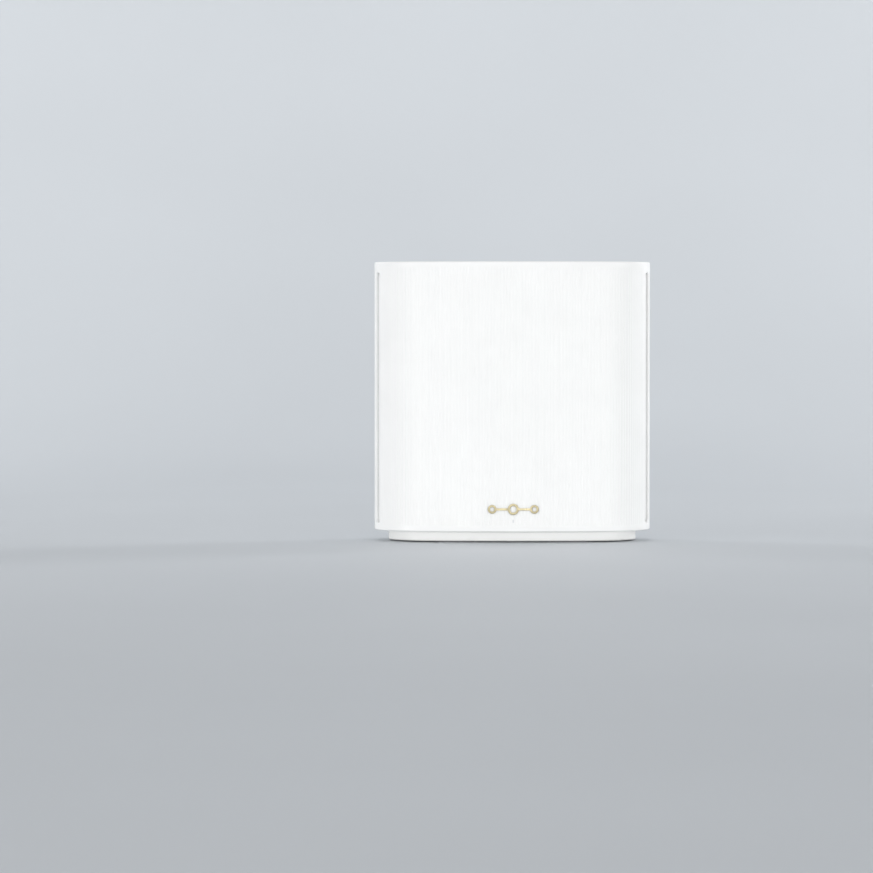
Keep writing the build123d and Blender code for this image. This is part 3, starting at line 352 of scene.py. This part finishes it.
def make_rear_shell():
    """The plain rear half with the window for the port bay, and a strip of lip behind each channel."""
    bay_low, bay_high = BAY_Z - BAY_HALF_HEIGHT, BAY_Z + BAY_HALF_HEIGHT
    corner = spaced(0, BAY_CORNER, BAY_CORNER / CORNER_STEPS)
    bay_xs = merged(
        [-BAY_HALF_WIDTH + c for c in corner],
        spaced(-BAY_HALF_WIDTH + BAY_CORNER, BAY_HALF_WIDTH - BAY_CORNER, BAY_STEP),
        [BAY_HALF_WIDTH - c for c in corner],
    )
    bay_runs = sorted(run_at_back(x) for x in bay_xs)
    start, end = bay_runs[0] - BESIDE_BAY, bay_runs[-1] + BESIDE_BAY
    side_run = run_at_side(SEAM_Y + CHANNEL_HALF) + PAST_CHANNEL
    columns = merged(
        spaced(side_run, start, COLUMN_STEP),
        spaced(start, bay_runs[0], BESIDE_STEP),
        bay_runs,
        spaced(bay_runs[-1], end, BESIDE_STEP),
        spaced(end, PERIMETER - side_run, COLUMN_STEP),
    )
    rows = merged(
        [row for row in SHELL_ROWS if not bay_low - BAY_MARGIN < row < bay_high + BAY_MARGIN],
        [bay_low - BAY_MARGIN, bay_high + BAY_MARGIN],
        [bay_low + c for c in corner],
        [bay_high - c for c in corner],
        spaced(bay_low + BAY_CORNER, bay_high - BAY_CORNER, BAY_STEP),
        [CHANNEL_LOW + row for row in CHANNEL_END_ROWS],
        gap=LEAST_STEP,
    )
    count = len(columns) + 2 * SIDE_COLUMNS
    first = columns.index(bay_runs[0]) + SIDE_COLUMNS
    last = columns.index(bay_runs[-1]) + SIDE_COLUMNS
    low = min(range(len(rows)), key=lambda j: abs(rows[j] - bay_low))
    high = min(range(len(rows)), key=lambda j: abs(rows[j] - bay_high))

    def rounded_corner(i, j, run, z):
        """Moves the border of the window onto the arcs of its corners."""
        if not (first <= i <= last and low <= j <= high):
            return run, z
        if first < i < last and low < j < high:
            return run, z
        x = on_outline(run)[0][0]
        side = -1 if x < 0 else 1
        above = -1 if z < BAY_Z else 1
        in_x = (abs(x) - (BAY_HALF_WIDTH - BAY_CORNER)) / BAY_CORNER
        in_z = (abs(z - BAY_Z) - (BAY_HALF_HEIGHT - BAY_CORNER)) / BAY_CORNER
        if in_x <= 0 or in_z <= 0:
            return run, z
        # from 0 at the window's upright edge to a right angle at the level one
        angle = pi / 4 * (in_z if in_x >= in_z else 2 - in_x)
        x = side * (BAY_HALF_WIDTH - BAY_CORNER * (1 - cos(angle)))
        return run_at_back(x), BAY_Z + above * (BAY_HALF_HEIGHT - BAY_CORNER * (1 - sin(angle)))

    def spot(i, j):
        z = rows[j]
        inner = i - SIDE_COLUMNS
        if 0 <= inner < len(columns):
            return rounded_corner(i, j, columns[inner], z)
        edge = run_at_side(SEAM_Y + notch(z))
        beyond = -inner if inner < 0 else inner - len(columns) + 1
        run = columns[0] + (edge - columns[0]) * beyond / SIDE_COLUMNS
        return (run if inner < 0 else PERIMETER - run), z

    def radius(run, z):
        beside = bay_runs[0] - BAY_MARGIN < run < bay_runs[-1] + BAY_MARGIN
        at_bay = beside and bay_low - BAY_MARGIN < z < bay_high + BAY_MARGIN
        return BAY_ROUND if at_bay else shell_radius(run, z)

    cells = [
        (i, j)
        for i in range(count - 1)
        for j in range(len(rows) - 1)
        if not (first <= i < last and low <= j < high)
    ]
    bm = bmesh.new()
    shell_patch(bm, cells, spot, radius)

    def lip_spot(i, j):
        z = rows[j]
        edge = run_at_side(SEAM_Y + notch(z)) + LIP_ROOT
        return STEP_RUN + (edge - STEP_RUN) * i / SIDE_COLUMNS, z

    def mirrored_spot(i, j):
        run, z = lip_spot(SIDE_COLUMNS - i, j)
        return -run, z

    lip_cells = [(i, j) for i in range(SIDE_COLUMNS) for j in range(len(rows) - 1)]
    for place in (lip_spot, mirrored_spot):
        shell_patch(
            bm,
            lip_cells,
            place,
            radius=lambda run, z: LIP_ROUND,
            top=lambda run, z: CHANNEL_DEPTH,
            bottom=lambda run: LIP_BACK,
        )
    return finish_mesh("back_shell", bm)


# ---- Printed signs -----------------------------------------------------------------------------------

INK_LIFT = 0.03 * MM  # how far ink stands out of the surface, and as far goes in
LINE_WIDTH = 0.24 * MM
MARK_WIDTH = 0.36 * MM
SIGN_HALF = 1.15 * MM  # half the height of a sign, and the unit that signs are drawn in
SIGN_Z = 14.8 * MM
PANEL_Y = 22 * MM  # the back wall of the port bay
ROCKER_PIVOT = (40 * MM, 20.8 * MM, 24 * MM)
ROCKER_TILT = radians(9)  # at rest
PADDLE_HALF = 5.4 * MM
PADDLE_PROUD = 2.4 * MM  # from the pivot out to the ends of the paddle's face
PADDLE_DIP = 0.9 * MM  # how much lower the middle of that face is
MARK_PLACE = 0.56  # along each half of the paddle's face, from its middle
LABEL_MARGIN = 1.2 * MM
RULE_MARGIN = 1 * MM
RULE_PLACES = (-0.3, 0.35)  # of the label's ruled lines, from its middle to its edge
ARC_STEP = pi / 14
RING_STEP = 12  # degrees
LINE_END = pi / 2.2  # how far round a line's end is rounded
LINE_END_STEP = pi / 8


def arc(u, v, radius, start, end, wide=1.0):
    """Points on an arc, anticlockwise between two angles in degrees; wide stretches it into an ellipse."""
    turns = spaced(radians(start), radians(end), ARC_STEP)
    return [(u + wide * radius * cos(turn), v + radius * sin(turn)) for turn in turns]


def ring(radius, wide=1.0):
    """The points of a closed ring, which ends a step before its start."""
    return arc(0, 0, radius, 0, 360 - RING_STEP, wide)


OPEN, CLOSED = False, True
SIGNS = {  # each sign as lines of points in units of half its height
    "one": [([(-0.4, 0.55), (0.05, 1), (0.05, -1)], OPEN)],
    "two": [(arc(0, 0.42, 0.58, -35, 165)[::-1] + [(-0.58, -1), (0.62, -1)], OPEN)],
    "three": [(arc(0, 0.5, 0.5, -90, 150), OPEN), (arc(0, -0.5, 0.55, -150, 90), OPEN)],
    "globe": [(ring(1), CLOSED), (ring(1, 0.45), CLOSED), ([(-1, 0), (1, 0)], OPEN)],
    "direct_current": [
        ([(-1.1, 0.3), (1.1, 0.3)], OPEN),
        ([(-1.1, -0.35), (-0.7, -0.35)], OPEN),
        ([(-0.2, -0.35), (0.2, -0.35)], OPEN),
        ([(0.7, -0.35), (1.1, -0.35)], OPEN),
    ],
    "power": [(arc(0, -0.1, 0.9, 125, 415), OPEN), ([(0, 1.05), (0, 0.2)], OPEN)],
    "flat_socket": [
        ([(-1.2, -0.5), (1.2, -0.5), (1.2, 0.5), (-1.2, 0.5)], CLOSED),
        ([(-0.7, 0.12), (0.7, 0.12)], OPEN),
    ],
    "bar": [([(0, -0.9), (0, 0.9)], OPEN)],
    "ring": [(ring(0.95), CLOSED)],
}
PORT_SIGNS = {  # by the X of the socket or switch above the sign
    54 * MM: "direct_current", 40 * MM: "power", 20.5 * MM: "globe", 2.5 * MM: "three", -15.5 * MM: "two",
    -33.5 * MM: "one", -52 * MM: "flat_socket",
}


def end_sections(point, across, ahead):
    """The sections that round off a line's end, from its last full section outward."""
    turns = spaced(0, LINE_END, LINE_END_STEP)[1:]
    return [(point + sin(turn) * ahead, cos(turn) * across) for turn in turns]


def add_line(bm, points, closed, width, spot):
    """Adds a raised line along the points, with round ends unless it is closed. spot turns a place on the
    sign and a height over its surface into a point in space."""
    points = [Vector(point) for point in points]
    last = len(points) - 1
    sections = []
    for i, point in enumerate(points):
        before = points[i - 1] if i or closed else 2 * point - points[1]
        after = points[(i + 1) % len(points)] if i < last or closed else 2 * point - points[i - 1]
        first, second = (point - before).normalized(), (after - point).normalized()
        across = Vector((-first.y - second.y, first.x + second.x)) / max(SHARPEST, 1 + first.dot(second))
        sections.append((point, across * width / 2))
    if not closed:
        (start, at_start), (end, at_end) = sections[0], sections[-1]
        sections = (
            end_sections(start, at_start, Vector((-at_start.y, at_start.x)))[::-1]
            + sections
            + end_sections(end, at_end, Vector((at_end.y, -at_end.x)))
        )
    loops = []
    for point, across in sections:
        left, right = point + across, point - across
        corners = ((left, -INK_LIFT), (left, INK_LIFT), (right, INK_LIFT), (right, -INK_LIFT))
        loops.append([bm.verts.new(spot(*corner, height)) for corner, height in corners])
    for one, other in zip(loops, loops[1:] + loops[:1] if closed else loops[1:]):
        for k in range(4):
            bm.faces.new([one[k], one[(k + 1) % 4], other[(k + 1) % 4], other[k]])
    if not closed:
        bm.faces.new(loops[0])
        bm.faces.new(loops[-1][::-1])


def make_port_signs():
    """A small sign on the tray's panel under each socket, and under the rocker switch."""
    bm = bmesh.new()
    for x, sign in PORT_SIGNS.items():
        for points, closed in SIGNS[sign]:
            def spot(u, v, height):
                return (x - u * SIGN_HALF, PANEL_Y + height, SIGN_Z + v * SIGN_HALF)
            add_line(bm, points, closed, LINE_WIDTH / SIGN_HALF, spot)
    return finish_mesh("port_signs", bm)


def make_rocker_marks():
    """A bar and a ring on the two halves of the rocker's face."""
    bm = bmesh.new()
    out = Vector((0, cos(ROCKER_TILT), sin(ROCKER_TILT)))
    up = Vector((0, -sin(ROCKER_TILT), cos(ROCKER_TILT)))
    slope = hypot(PADDLE_HALF, PADDLE_DIP)
    for sign, side in (("bar", 1), ("ring", -1)):
        middle = (PADDLE_PROUD - PADDLE_DIP * (1 - MARK_PLACE)) * out + side * MARK_PLACE * PADDLE_HALF * up
        rise = (side * PADDLE_DIP * out + PADDLE_HALF * up) / slope
        normal = (PADDLE_HALF * out - side * PADDLE_DIP * up) / slope
        for points, closed in SIGNS[sign]:
            def spot(u, v, height):
                flat = middle + v * SIGN_HALF * rise + height * normal
                return Vector(ROCKER_PIVOT) + flat - Vector((u * SIGN_HALF, 0, 0))
            add_line(bm, points, closed, MARK_WIDTH / SIGN_HALF, spot)
    return finish_mesh("rocker_marks", bm)


def make_label_lines():
    """A printed frame with two rows ruled off, on the label under the base."""
    low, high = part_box("rating_label")
    half_x = (high.x - low.x) / 2 - LABEL_MARGIN
    half_y = (high.y - low.y) / 2 - LABEL_MARGIN
    middle_y = (low.y + high.y) / 2
    bm = bmesh.new()

    def spot(u, v, height):
        return (u, middle_y - v, low.z - height)

    frame_line = [(-half_x, -half_y), (half_x, -half_y), (half_x, half_y), (-half_x, half_y)]
    add_line(bm, frame_line, CLOSED, LINE_WIDTH, spot)
    for share in RULE_PLACES:
        ruled = [(-half_x + RULE_MARGIN, share * half_y), (half_x - RULE_MARGIN, share * half_y)]
        add_line(bm, ruled, OPEN, LINE_WIDTH, spot)
    return finish_mesh("label_lines", bm)


# ---- Materials ---------------------------------------------------------------------------------------

EDGE_REACH = 0.3 * MM  # how far in from an edge it wears
WEAR_PATCH = 2 * MM
# how far the painted shade in corners reaches from nearby surfaces
PAINTED_SHADE_REACH = 2.4 * MM
FINGER = 22 * MM  # size of the large soft patches that handling leaves
WAVE = 30 * MM  # size of the slight hollows that moulded walls have
WAVE_DEPTH = 0.02 * MM
GRAIN = 0.25 * MM  # of spark-eroded moulds
TRACK = 2.2 * MM  # spacing of the copper tracks


class Nodes:
    """A material's node tree, with short ways to add and link nodes."""

    def __init__(self, name, color, roughness, metallic=0.0, **settings):
        self.material = bpy.data.materials.new(name)
        self.material.use_nodes = True
        self.tree = self.material.node_tree
        self.shader = self.tree.nodes["Principled BSDF"]
        self.color = (*color, 1.0)
        self.set(self.shader, Metallic=metallic, **settings)
        self.shader.inputs["Base Color"].default_value = self.color
        self.shader.inputs["Roughness"].default_value = roughness
        self.place = self.add("ShaderNodeTexCoord").outputs["Object"]

    def add(self, kind, **values):
        """A new node of that kind, with those values in its inputs."""
        node = self.tree.nodes.new(kind)
        self.set(node, **values)
        return node

    def set(self, node, **values):
        for key, value in values.items():
            node.inputs[key.replace("_", " ")].default_value = value

    def link(self, a, b):
        self.tree.links.new(a, b)

    def stretched(self, factors):
        """Object coordinates scaled along each axis."""
        mapping = self.add("ShaderNodeMapping", Scale=factors)
        self.link(self.place, mapping.inputs["Vector"])
        return mapping.outputs["Vector"]

    def noise(self, size, detail=2.0, vector=None):
        """A noise whose features are about that size in metres."""
        node = self.add("ShaderNodeTexNoise", Scale=1 / size, Detail=detail)
        self.link(vector or self.place, node.inputs["Vector"])
        return node.outputs["Fac"]

    def ranged(self, value, low, high, start=0.3, end=0.7):
        """value, which runs from start to end, turned into one that runs from low to high."""
        node = self.add("ShaderNodeMapRange", From_Min=start, From_Max=end, To_Min=low, To_Max=high)
        self.link(value, node.inputs["Value"])
        return node.outputs["Result"]

    def math(self, kind, a, b):
        """The result of a math node, whose inputs are sockets or plain floats."""
        node = self.tree.nodes.new("ShaderNodeMath")
        node.operation = kind
        for value, socket in zip((a, b), node.inputs):
            if isinstance(value, float):
                socket.default_value = value
            else:
                self.link(value, socket)
        return node.outputs["Value"]

    def multiplied(self, a, b):
        return self.math("MULTIPLY", a, b)

    def added(self, a, b, share=1.0):
        """That share of the sum of both."""
        return self.multiplied(self.math("ADD", a, b), share)

    def mixed(self, factor, color, other):
        """That colour socket, turned towards the other colour by the factor."""
        mix = self.tree.nodes.new("ShaderNodeMix")
        mix.data_type = "RGBA"
        self.link(factor, mix.inputs["Factor"])
        self.link(color, mix.inputs["A"])
        mix.inputs["B"].default_value = other
        return mix.outputs["Result"]

    def tint(self, value, share):
        """The base colour, darker by up to that share where value is low."""
        mix = self.tree.nodes.new("ShaderNodeMix")
        mix.data_type = "RGBA"
        mix.inputs["A"].default_value = (*[c * (1 - share) for c in self.color[:3]], 1)
        mix.inputs["B"].default_value = self.color
        self.link(self.ranged(value, 0, 1), mix.inputs["Factor"])
        return mix.outputs["Result"]

    def bump(self, height, depth):
        """Adds a bump of that depth in metres on top of those that are there."""
        node = self.add("ShaderNodeBump", Strength=1.0, Distance=depth)
        self.link(height, node.inputs["Height"])
        normal = self.shader.inputs["Normal"]
        if normal.links:
            self.link(normal.links[0].from_socket, node.inputs["Normal"])
        self.link(node.outputs["Normal"], normal)

    def worn_edges(self, color, share):
        """That colour, lighter by up to that share along edges, in uneven patches."""
        rounded = self.add("ShaderNodeBevel", Radius=EDGE_REACH)
        rounded.samples = 4
        flat = self.tree.nodes.new("ShaderNodeNewGeometry")
        facing = self.tree.nodes.new("ShaderNodeVectorMath")
        facing.operation = "DOT_PRODUCT"
        self.link(rounded.outputs["Normal"], facing.inputs[0])
        self.link(flat.outputs["Normal"], facing.inputs[1])
        edge = self.ranged(facing.outputs["Value"], share, 0, 0.75, 0.98)
        return self.mixed(self.multiplied(edge, self.noise(WEAR_PATCH, 3)), color, (1, 1, 1, 1))

    def painted_corner_shade(self, color, share):
        """That colour, darker by up to that share where other surfaces are near: painted shade in corners,
        creases and recesses.
        """
        # painted shade: occlusion by nearby surfaces darkens the base colour itself
        around = self.tree.nodes.new("ShaderNodeAmbientOcclusion")
        around.samples = 6
        around.inputs["Distance"].default_value = PAINTED_SHADE_REACH
        painted_shade = self.ranged(around.outputs["AO"], share, 0, 0.2, 0.95)
        darker = (*[0.25 * c for c in self.color[:3]], 1)
        return self.mixed(painted_shade, color, darker)


def moulded(name, color, roughness, depth=0.008 * MM, wear=0.0, painted_shade=0.0, **settings):
    """Moulded plastic: a fine grain, soft patches of uneven gloss, thin rubbed lines and a slight wave;
    where asked, painted shade in corners and recesses.
    """
    nodes = Nodes(name, color, roughness, **settings)
    patches = nodes.noise(FINGER, 3)
    tone = nodes.tint(patches, 0.03)
    # painted shade in corners and recesses
    if painted_shade:
        tone = nodes.painted_corner_shade(tone, painted_shade)
    if wear:
        tone = nodes.worn_edges(tone, wear)
    nodes.link(tone, nodes.shader.inputs["Base Color"])
    rubbed = nodes.noise(1.2 * MM, 2, nodes.stretched((1, 1, 0.06)))
    uneven = nodes.ranged(rubbed, roughness - 0.03, roughness + 0.03)
    gloss = nodes.added(nodes.ranged(patches, -0.05, 0.05), uneven)
    nodes.link(gloss, nodes.shader.inputs["Roughness"])
    nodes.bump(nodes.noise(WAVE, 1), WAVE_DEPTH)
    nodes.bump(nodes.noise(GRAIN, 3), depth)
    return nodes.material


def sheet_metal(name, color, roughness):
    """Rolled, plated or brushed metal: fine lines one way, with blotches of uneven gloss and duller tone."""
    nodes = Nodes(name, color, roughness, metallic=1.0)
    lines = nodes.noise(0.5 * MM, 4, nodes.stretched((1, 1, 0.08)))
    blotches = nodes.noise(4 * MM, 3)
    duller = (*[0.6 * c for c in color], 1)
    tone = nodes.mixed(nodes.ranged(blotches, 0, 0.22), nodes.tint(lines, 0.14), duller)
    nodes.link(tone, nodes.shader.inputs["Base Color"])
    nodes.link(nodes.ranged(blotches, roughness - 0.07, roughness + 0.12), nodes.shader.inputs["Roughness"])
    nodes.bump(lines, 0.005 * MM)
    return nodes.material


def rubber(name, color, roughness=0.82):
    """Dull rubber: close speckle in tone and relief, with paler, dusty outer edges."""
    nodes = Nodes(name, color, roughness)
    speckle = nodes.noise(0.35 * MM, 5)
    tone = nodes.worn_edges(nodes.tint(speckle, 0.35), 0.5)
    nodes.link(tone, nodes.shader.inputs["Base Color"])
    nodes.link(nodes.ranged(speckle, roughness - 0.1, roughness + 0.08), nodes.shader.inputs["Roughness"])
    nodes.bump(speckle, 0.03 * MM)
    return nodes.material


def solder_mask(name, color, roughness=0.32):
    """Circuit board: glossy lacquer over copper tracks, which show as slightly paler square cells."""
    nodes = Nodes(name, color, roughness)
    cells = nodes.add("ShaderNodeTexVoronoi", Scale=1 / TRACK)
    cells.distance = "CHEBYCHEV"
    cells.feature = "F1"
    nodes.link(nodes.place, cells.inputs["Vector"])
    tracks = nodes.ranged(cells.outputs["Distance"], 0, 0.5, 0.36, 0.4)
    paler = (*[min(1, 2.1 * c) for c in color], 1)
    tone = nodes.mixed(tracks, nodes.tint(nodes.noise(12 * MM), 0.15), paler)
    nodes.link(tone, nodes.shader.inputs["Base Color"])
    gloss = nodes.ranged(nodes.noise(3 * MM), roughness - 0.05, roughness + 0.08)
    nodes.link(gloss, nodes.shader.inputs["Roughness"])
    nodes.bump(tracks, 0.03 * MM)
    return nodes.material


def film(name, color, roughness=0.38):
    """Printed film: smooth satin with a faint weave of coating lines both ways."""
    nodes = Nodes(name, color, roughness)
    lines = nodes.noise(0.4 * MM, 2, nodes.stretched((1, 0.1, 1)))
    rows = nodes.noise(0.4 * MM, 2, nodes.stretched((0.1, 1, 1)))
    both = nodes.added(lines, rows, 0.5)
    nodes.link(nodes.tint(both, 0.06), nodes.shader.inputs["Base Color"])
    nodes.link(nodes.ranged(both, roughness - 0.06, roughness + 0.06), nodes.shader.inputs["Roughness"])
    nodes.bump(both, 0.003 * MM)
    return nodes.material


def ink(name, color, roughness=0.5):
    """Pad-printed ink: nearly even, thinner in small spots."""
    nodes = Nodes(name, color, roughness)
    spots = nodes.noise(0.12 * MM, 4)
    tone = nodes.mixed(nodes.ranged(spots, 0, 0.25), nodes.tint(spots, 0.1), (0.7, 0.7, 0.7, 1))
    nodes.link(tone, nodes.shader.inputs["Base Color"])
    nodes.bump(spots, 0.004 * MM)
    return nodes.material


def slot_color(name):
    """The colour that the record gives to a slot."""
    for row in frame["record"]["materials"]:
        if row["slot"] == name:
            return tuple(row["base_color"][:3])


# the record's slots by the kind of surface, each with its roughness
WHITE_PLASTICS = {"shell_white": 0.46, "plinth_white": 0.5, "bay_white": 0.5, "button_white": 0.42}
OTHER_PLASTICS = {
    "frame_grey": 0.5, "chip_black": 0.55, "lead_jacket": 0.4, "insert_blue": 0.38, "insert_black": 0.42,
    "socket_black": 0.4, "switch_black": 0.36, "paddle_black": 0.3, "usb_blue": 0.3, "plunger_plastic": 0.4,
}
CLEAR_PLASTICS = {"led_white": 0.3, "clear_plastic": 0.12}
METALS = {
    "emblem_gold": 0.32, "screw_dark": 0.42, "screw_steel": 0.3, "shield_tin": 0.32, "antenna_brass": 0.3,
    "contact_gold": 0.22, "socket_nickel": 0.26, "pin_nickel": 0.18, "heatsink_aluminium": 0.38,
}


def make_materials():
    """One material for each of the record's slots."""
    made = {
        "board_laminate": solder_mask("board_laminate", slot_color("board_laminate")),
        "foot_rubber": rubber("foot_rubber", slot_color("foot_rubber")),
        "thermal_pad": rubber("thermal_pad", slot_color("thermal_pad"), 0.75),
        "label_film": film("label_film", slot_color("label_film")),
    }
    for slot, roughness in WHITE_PLASTICS.items():
        # the white plastics get painted shade in their corners and recesses
        made[slot] = moulded(slot, slot_color(slot), roughness, painted_shade=0.6)
    for slot, roughness in OTHER_PLASTICS.items():
        made[slot] = moulded(slot, slot_color(slot), roughness, wear=0.5, Coat_Weight=0.1)
    for slot, roughness in CLEAR_PLASTICS.items():
        made[slot] = moulded(slot, slot_color(slot), roughness, depth=0.001 * MM, Coat_Weight=0.5)
    for slot, roughness in METALS.items():
        made[slot] = sheet_metal(slot, slot_color(slot), roughness)
    return made


# ---- Stage: floor, lights and camera -----------------------------------------------------------------

FLOOR_HALF_WIDTH = 12.0
FLOOR_FRONT = -1.55
BACKDROP_Y = 1.6
BACKDROP_HEIGHT = 3.0
FLOOR_BEND = 0.8  # radius of the bend between floor and backdrop
WORLD_COLOR = (0.985, 0.99, 1.0, 1)
WORLD_STRENGTH = 0.47
CAMERA_PLACE = (-0.044, -2.437, 0.1253)
CAMERA_TILT = 1.53  # degrees below level
CAMERA_LENS = 172.8  # for a sensor 36 mm wide


def make_stage():
    """A pale floor that bends up into a backdrop behind the object."""
    profile = [(FLOOR_FRONT, 0)]
    for turn in spaced(0, pi / 2, pi / 24):
        profile.append((BACKDROP_Y - FLOOR_BEND * (1 - sin(turn)), FLOOR_BEND * (1 - cos(turn))))
    profile.append((BACKDROP_Y, BACKDROP_HEIGHT))
    bm = bmesh.new()
    lines = [[bm.verts.new((x, y, z)) for y, z in profile] for x in (-FLOOR_HALF_WIDTH, FLOOR_HALF_WIDTH)]
    for k in range(len(profile) - 1):
        bm.faces.new([lines[0][k], lines[1][k], lines[1][k + 1], lines[0][k + 1]])
    floor = finish_mesh("floor", bm)
    nodes = Nodes("floor_paint", (0.64, 0.67, 0.7), 0.6)
    nodes.link(nodes.tint(nodes.noise(0.4, 2), 0.04), nodes.shader.inputs["Base Color"])
    floor.data.materials.append(nodes.material)


def area_light(name, place, target, size, power):
    """A soft box of that width and height, which faces the target."""
    lamp = bpy.data.lights.new(name, "AREA")
    lamp.shape = "RECTANGLE"
    lamp.size, lamp.size_y = size
    lamp.energy = power
    holder = bpy.data.objects.new(name, lamp)
    holder.location = place
    holder.rotation_euler = (Vector(target) - Vector(place)).to_track_quat("-Z", "Y").to_euler()
    bpy.context.scene.collection.objects.link(holder)


def make_lights():
    """Wide low boxes in front, so that the ribs show only faintly, with smaller ones above and behind."""
    middle = (0, 0, SHELL_HIGH / 2)
    foot = (0, 0, 0.03)
    area_light("key", (-0.6, -2.25, 0.8), middle, (1.7, 1.1), 1.5)
    area_light("low", (0, -3.3, 0.18), foot, (2.6, 0.3), 19)
    area_light("low_left", (-3.4, -2.4, 0.16), foot, (1.4, 0.3), 58)
    area_light("low_right", (3.4, -2.4, 0.16), foot, (1.4, 0.3), 51)
    area_light("top", (0, 0.1, 2.0), middle, (1.6, 1.2), 6)
    area_light("back_left", (-1.5, 1.15, 0.8), middle, (0.5, 1.0), 7)
    area_light("right", (1.55, 0.95, 0.65), middle, (0.4, 0.8), 10)
    world = bpy.data.worlds.new("studio")
    world.use_nodes = True
    background = world.node_tree.nodes["Background"]
    background.inputs["Color"].default_value = WORLD_COLOR
    background.inputs["Strength"].default_value = WORLD_STRENGTH
    bpy.context.scene.world = world


def make_camera():
    """Nearly level, straight in front, and a little to the left of the object's middle."""
    camera = bpy.data.cameras.new("camera")
    camera.sensor_width = 36
    camera.lens = CAMERA_LENS
    camera.clip_start, camera.clip_end = 0.05, 50
    holder = bpy.data.objects.new("camera", camera)
    holder.location = CAMERA_PLACE
    holder.rotation_euler = (radians(90 - CAMERA_TILT), 0, 0)
    bpy.context.scene.collection.objects.link(holder)
    bpy.context.scene.camera = holder


# ---- Putting it together -----------------------------------------------------------------------------

EDGE_WIDTHS = {
    "port_bay": 0.3 * MM, "rocker_bezel": 0.12 * MM, "rocker_paddle": 0.12 * MM, "dc_jack": 0.15 * MM,
    "usb_shell": 0.08 * MM, "usb_tongue": 0.1 * MM, "base_plinth": 0.15 * MM, "wps_button": 0.12 * MM,
    "base_screws": 0.08 * MM, "emblem": 0.07 * MM, "inner_frame": 0.3 * MM,
}
OTHER_EDGES = 0.1 * MM
SOFTENED_ANGLE = 40  # degrees that two faces turn before their edge counts as sharp
WELD_GAP = 0.002 * MM
LEFT_SHARP = ("top_cap", "jack_contacts", "antenna_leads")  # rounded already, or too fine to show it


def soften_edges(piece, width):
    """Rounds a carried-over piece's sharp edges a little, as moulding, cutting or plating leaves them."""
    weld = piece.modifiers.new("weld", "WELD")
    weld.merge_threshold = WELD_GAP
    bevel = piece.modifiers.new("bevel", "BEVEL")
    bevel.width = width
    bevel.segments = 2
    bevel.limit_method = "ANGLE"
    bevel.angle_limit = radians(SOFTENED_ANGLE)
    normals = piece.modifiers.new("normals", "WEIGHTED_NORMAL")
    normals.mode = "FACE_AREA_WITH_ANGLE"
    normals.weight = 80


materials = make_materials()
slot_of = {row["node"]: row["material_slot"] for row in frame["record"]["subparts"]}

for node, piece in frame["nodes"].items():
    piece.data.materials.clear()
    piece.data.materials.append(materials[slot_of[node]])
    if node not in LEFT_SHARP:
        soften_edges(piece, EDGE_WIDTHS.get(node, OTHER_EDGES))

for maker, node in ((make_fascia, "front_fascia"), (make_rear_shell, "rear_shell")):
    piece = maker()
    piece.data.materials.append(materials[slot_of[node]])
    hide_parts(node)
    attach(piece, "housing")

grey_ink = ink("grey_ink", (0.24, 0.26, 0.28))
white_ink = ink("white_ink", (0.82, 0.83, 0.83))
for maker, body, paint in (
    (make_port_signs, "housing", grey_ink),
    (make_label_lines, "housing", grey_ink),
    (make_rocker_marks, "rocker", white_ink),
):
    piece = maker()
    piece.data.materials.append(paint)
    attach(piece, body)

make_stage()
make_lights()
make_camera()
bpy.context.scene.view_settings.view_transform = "Standard"
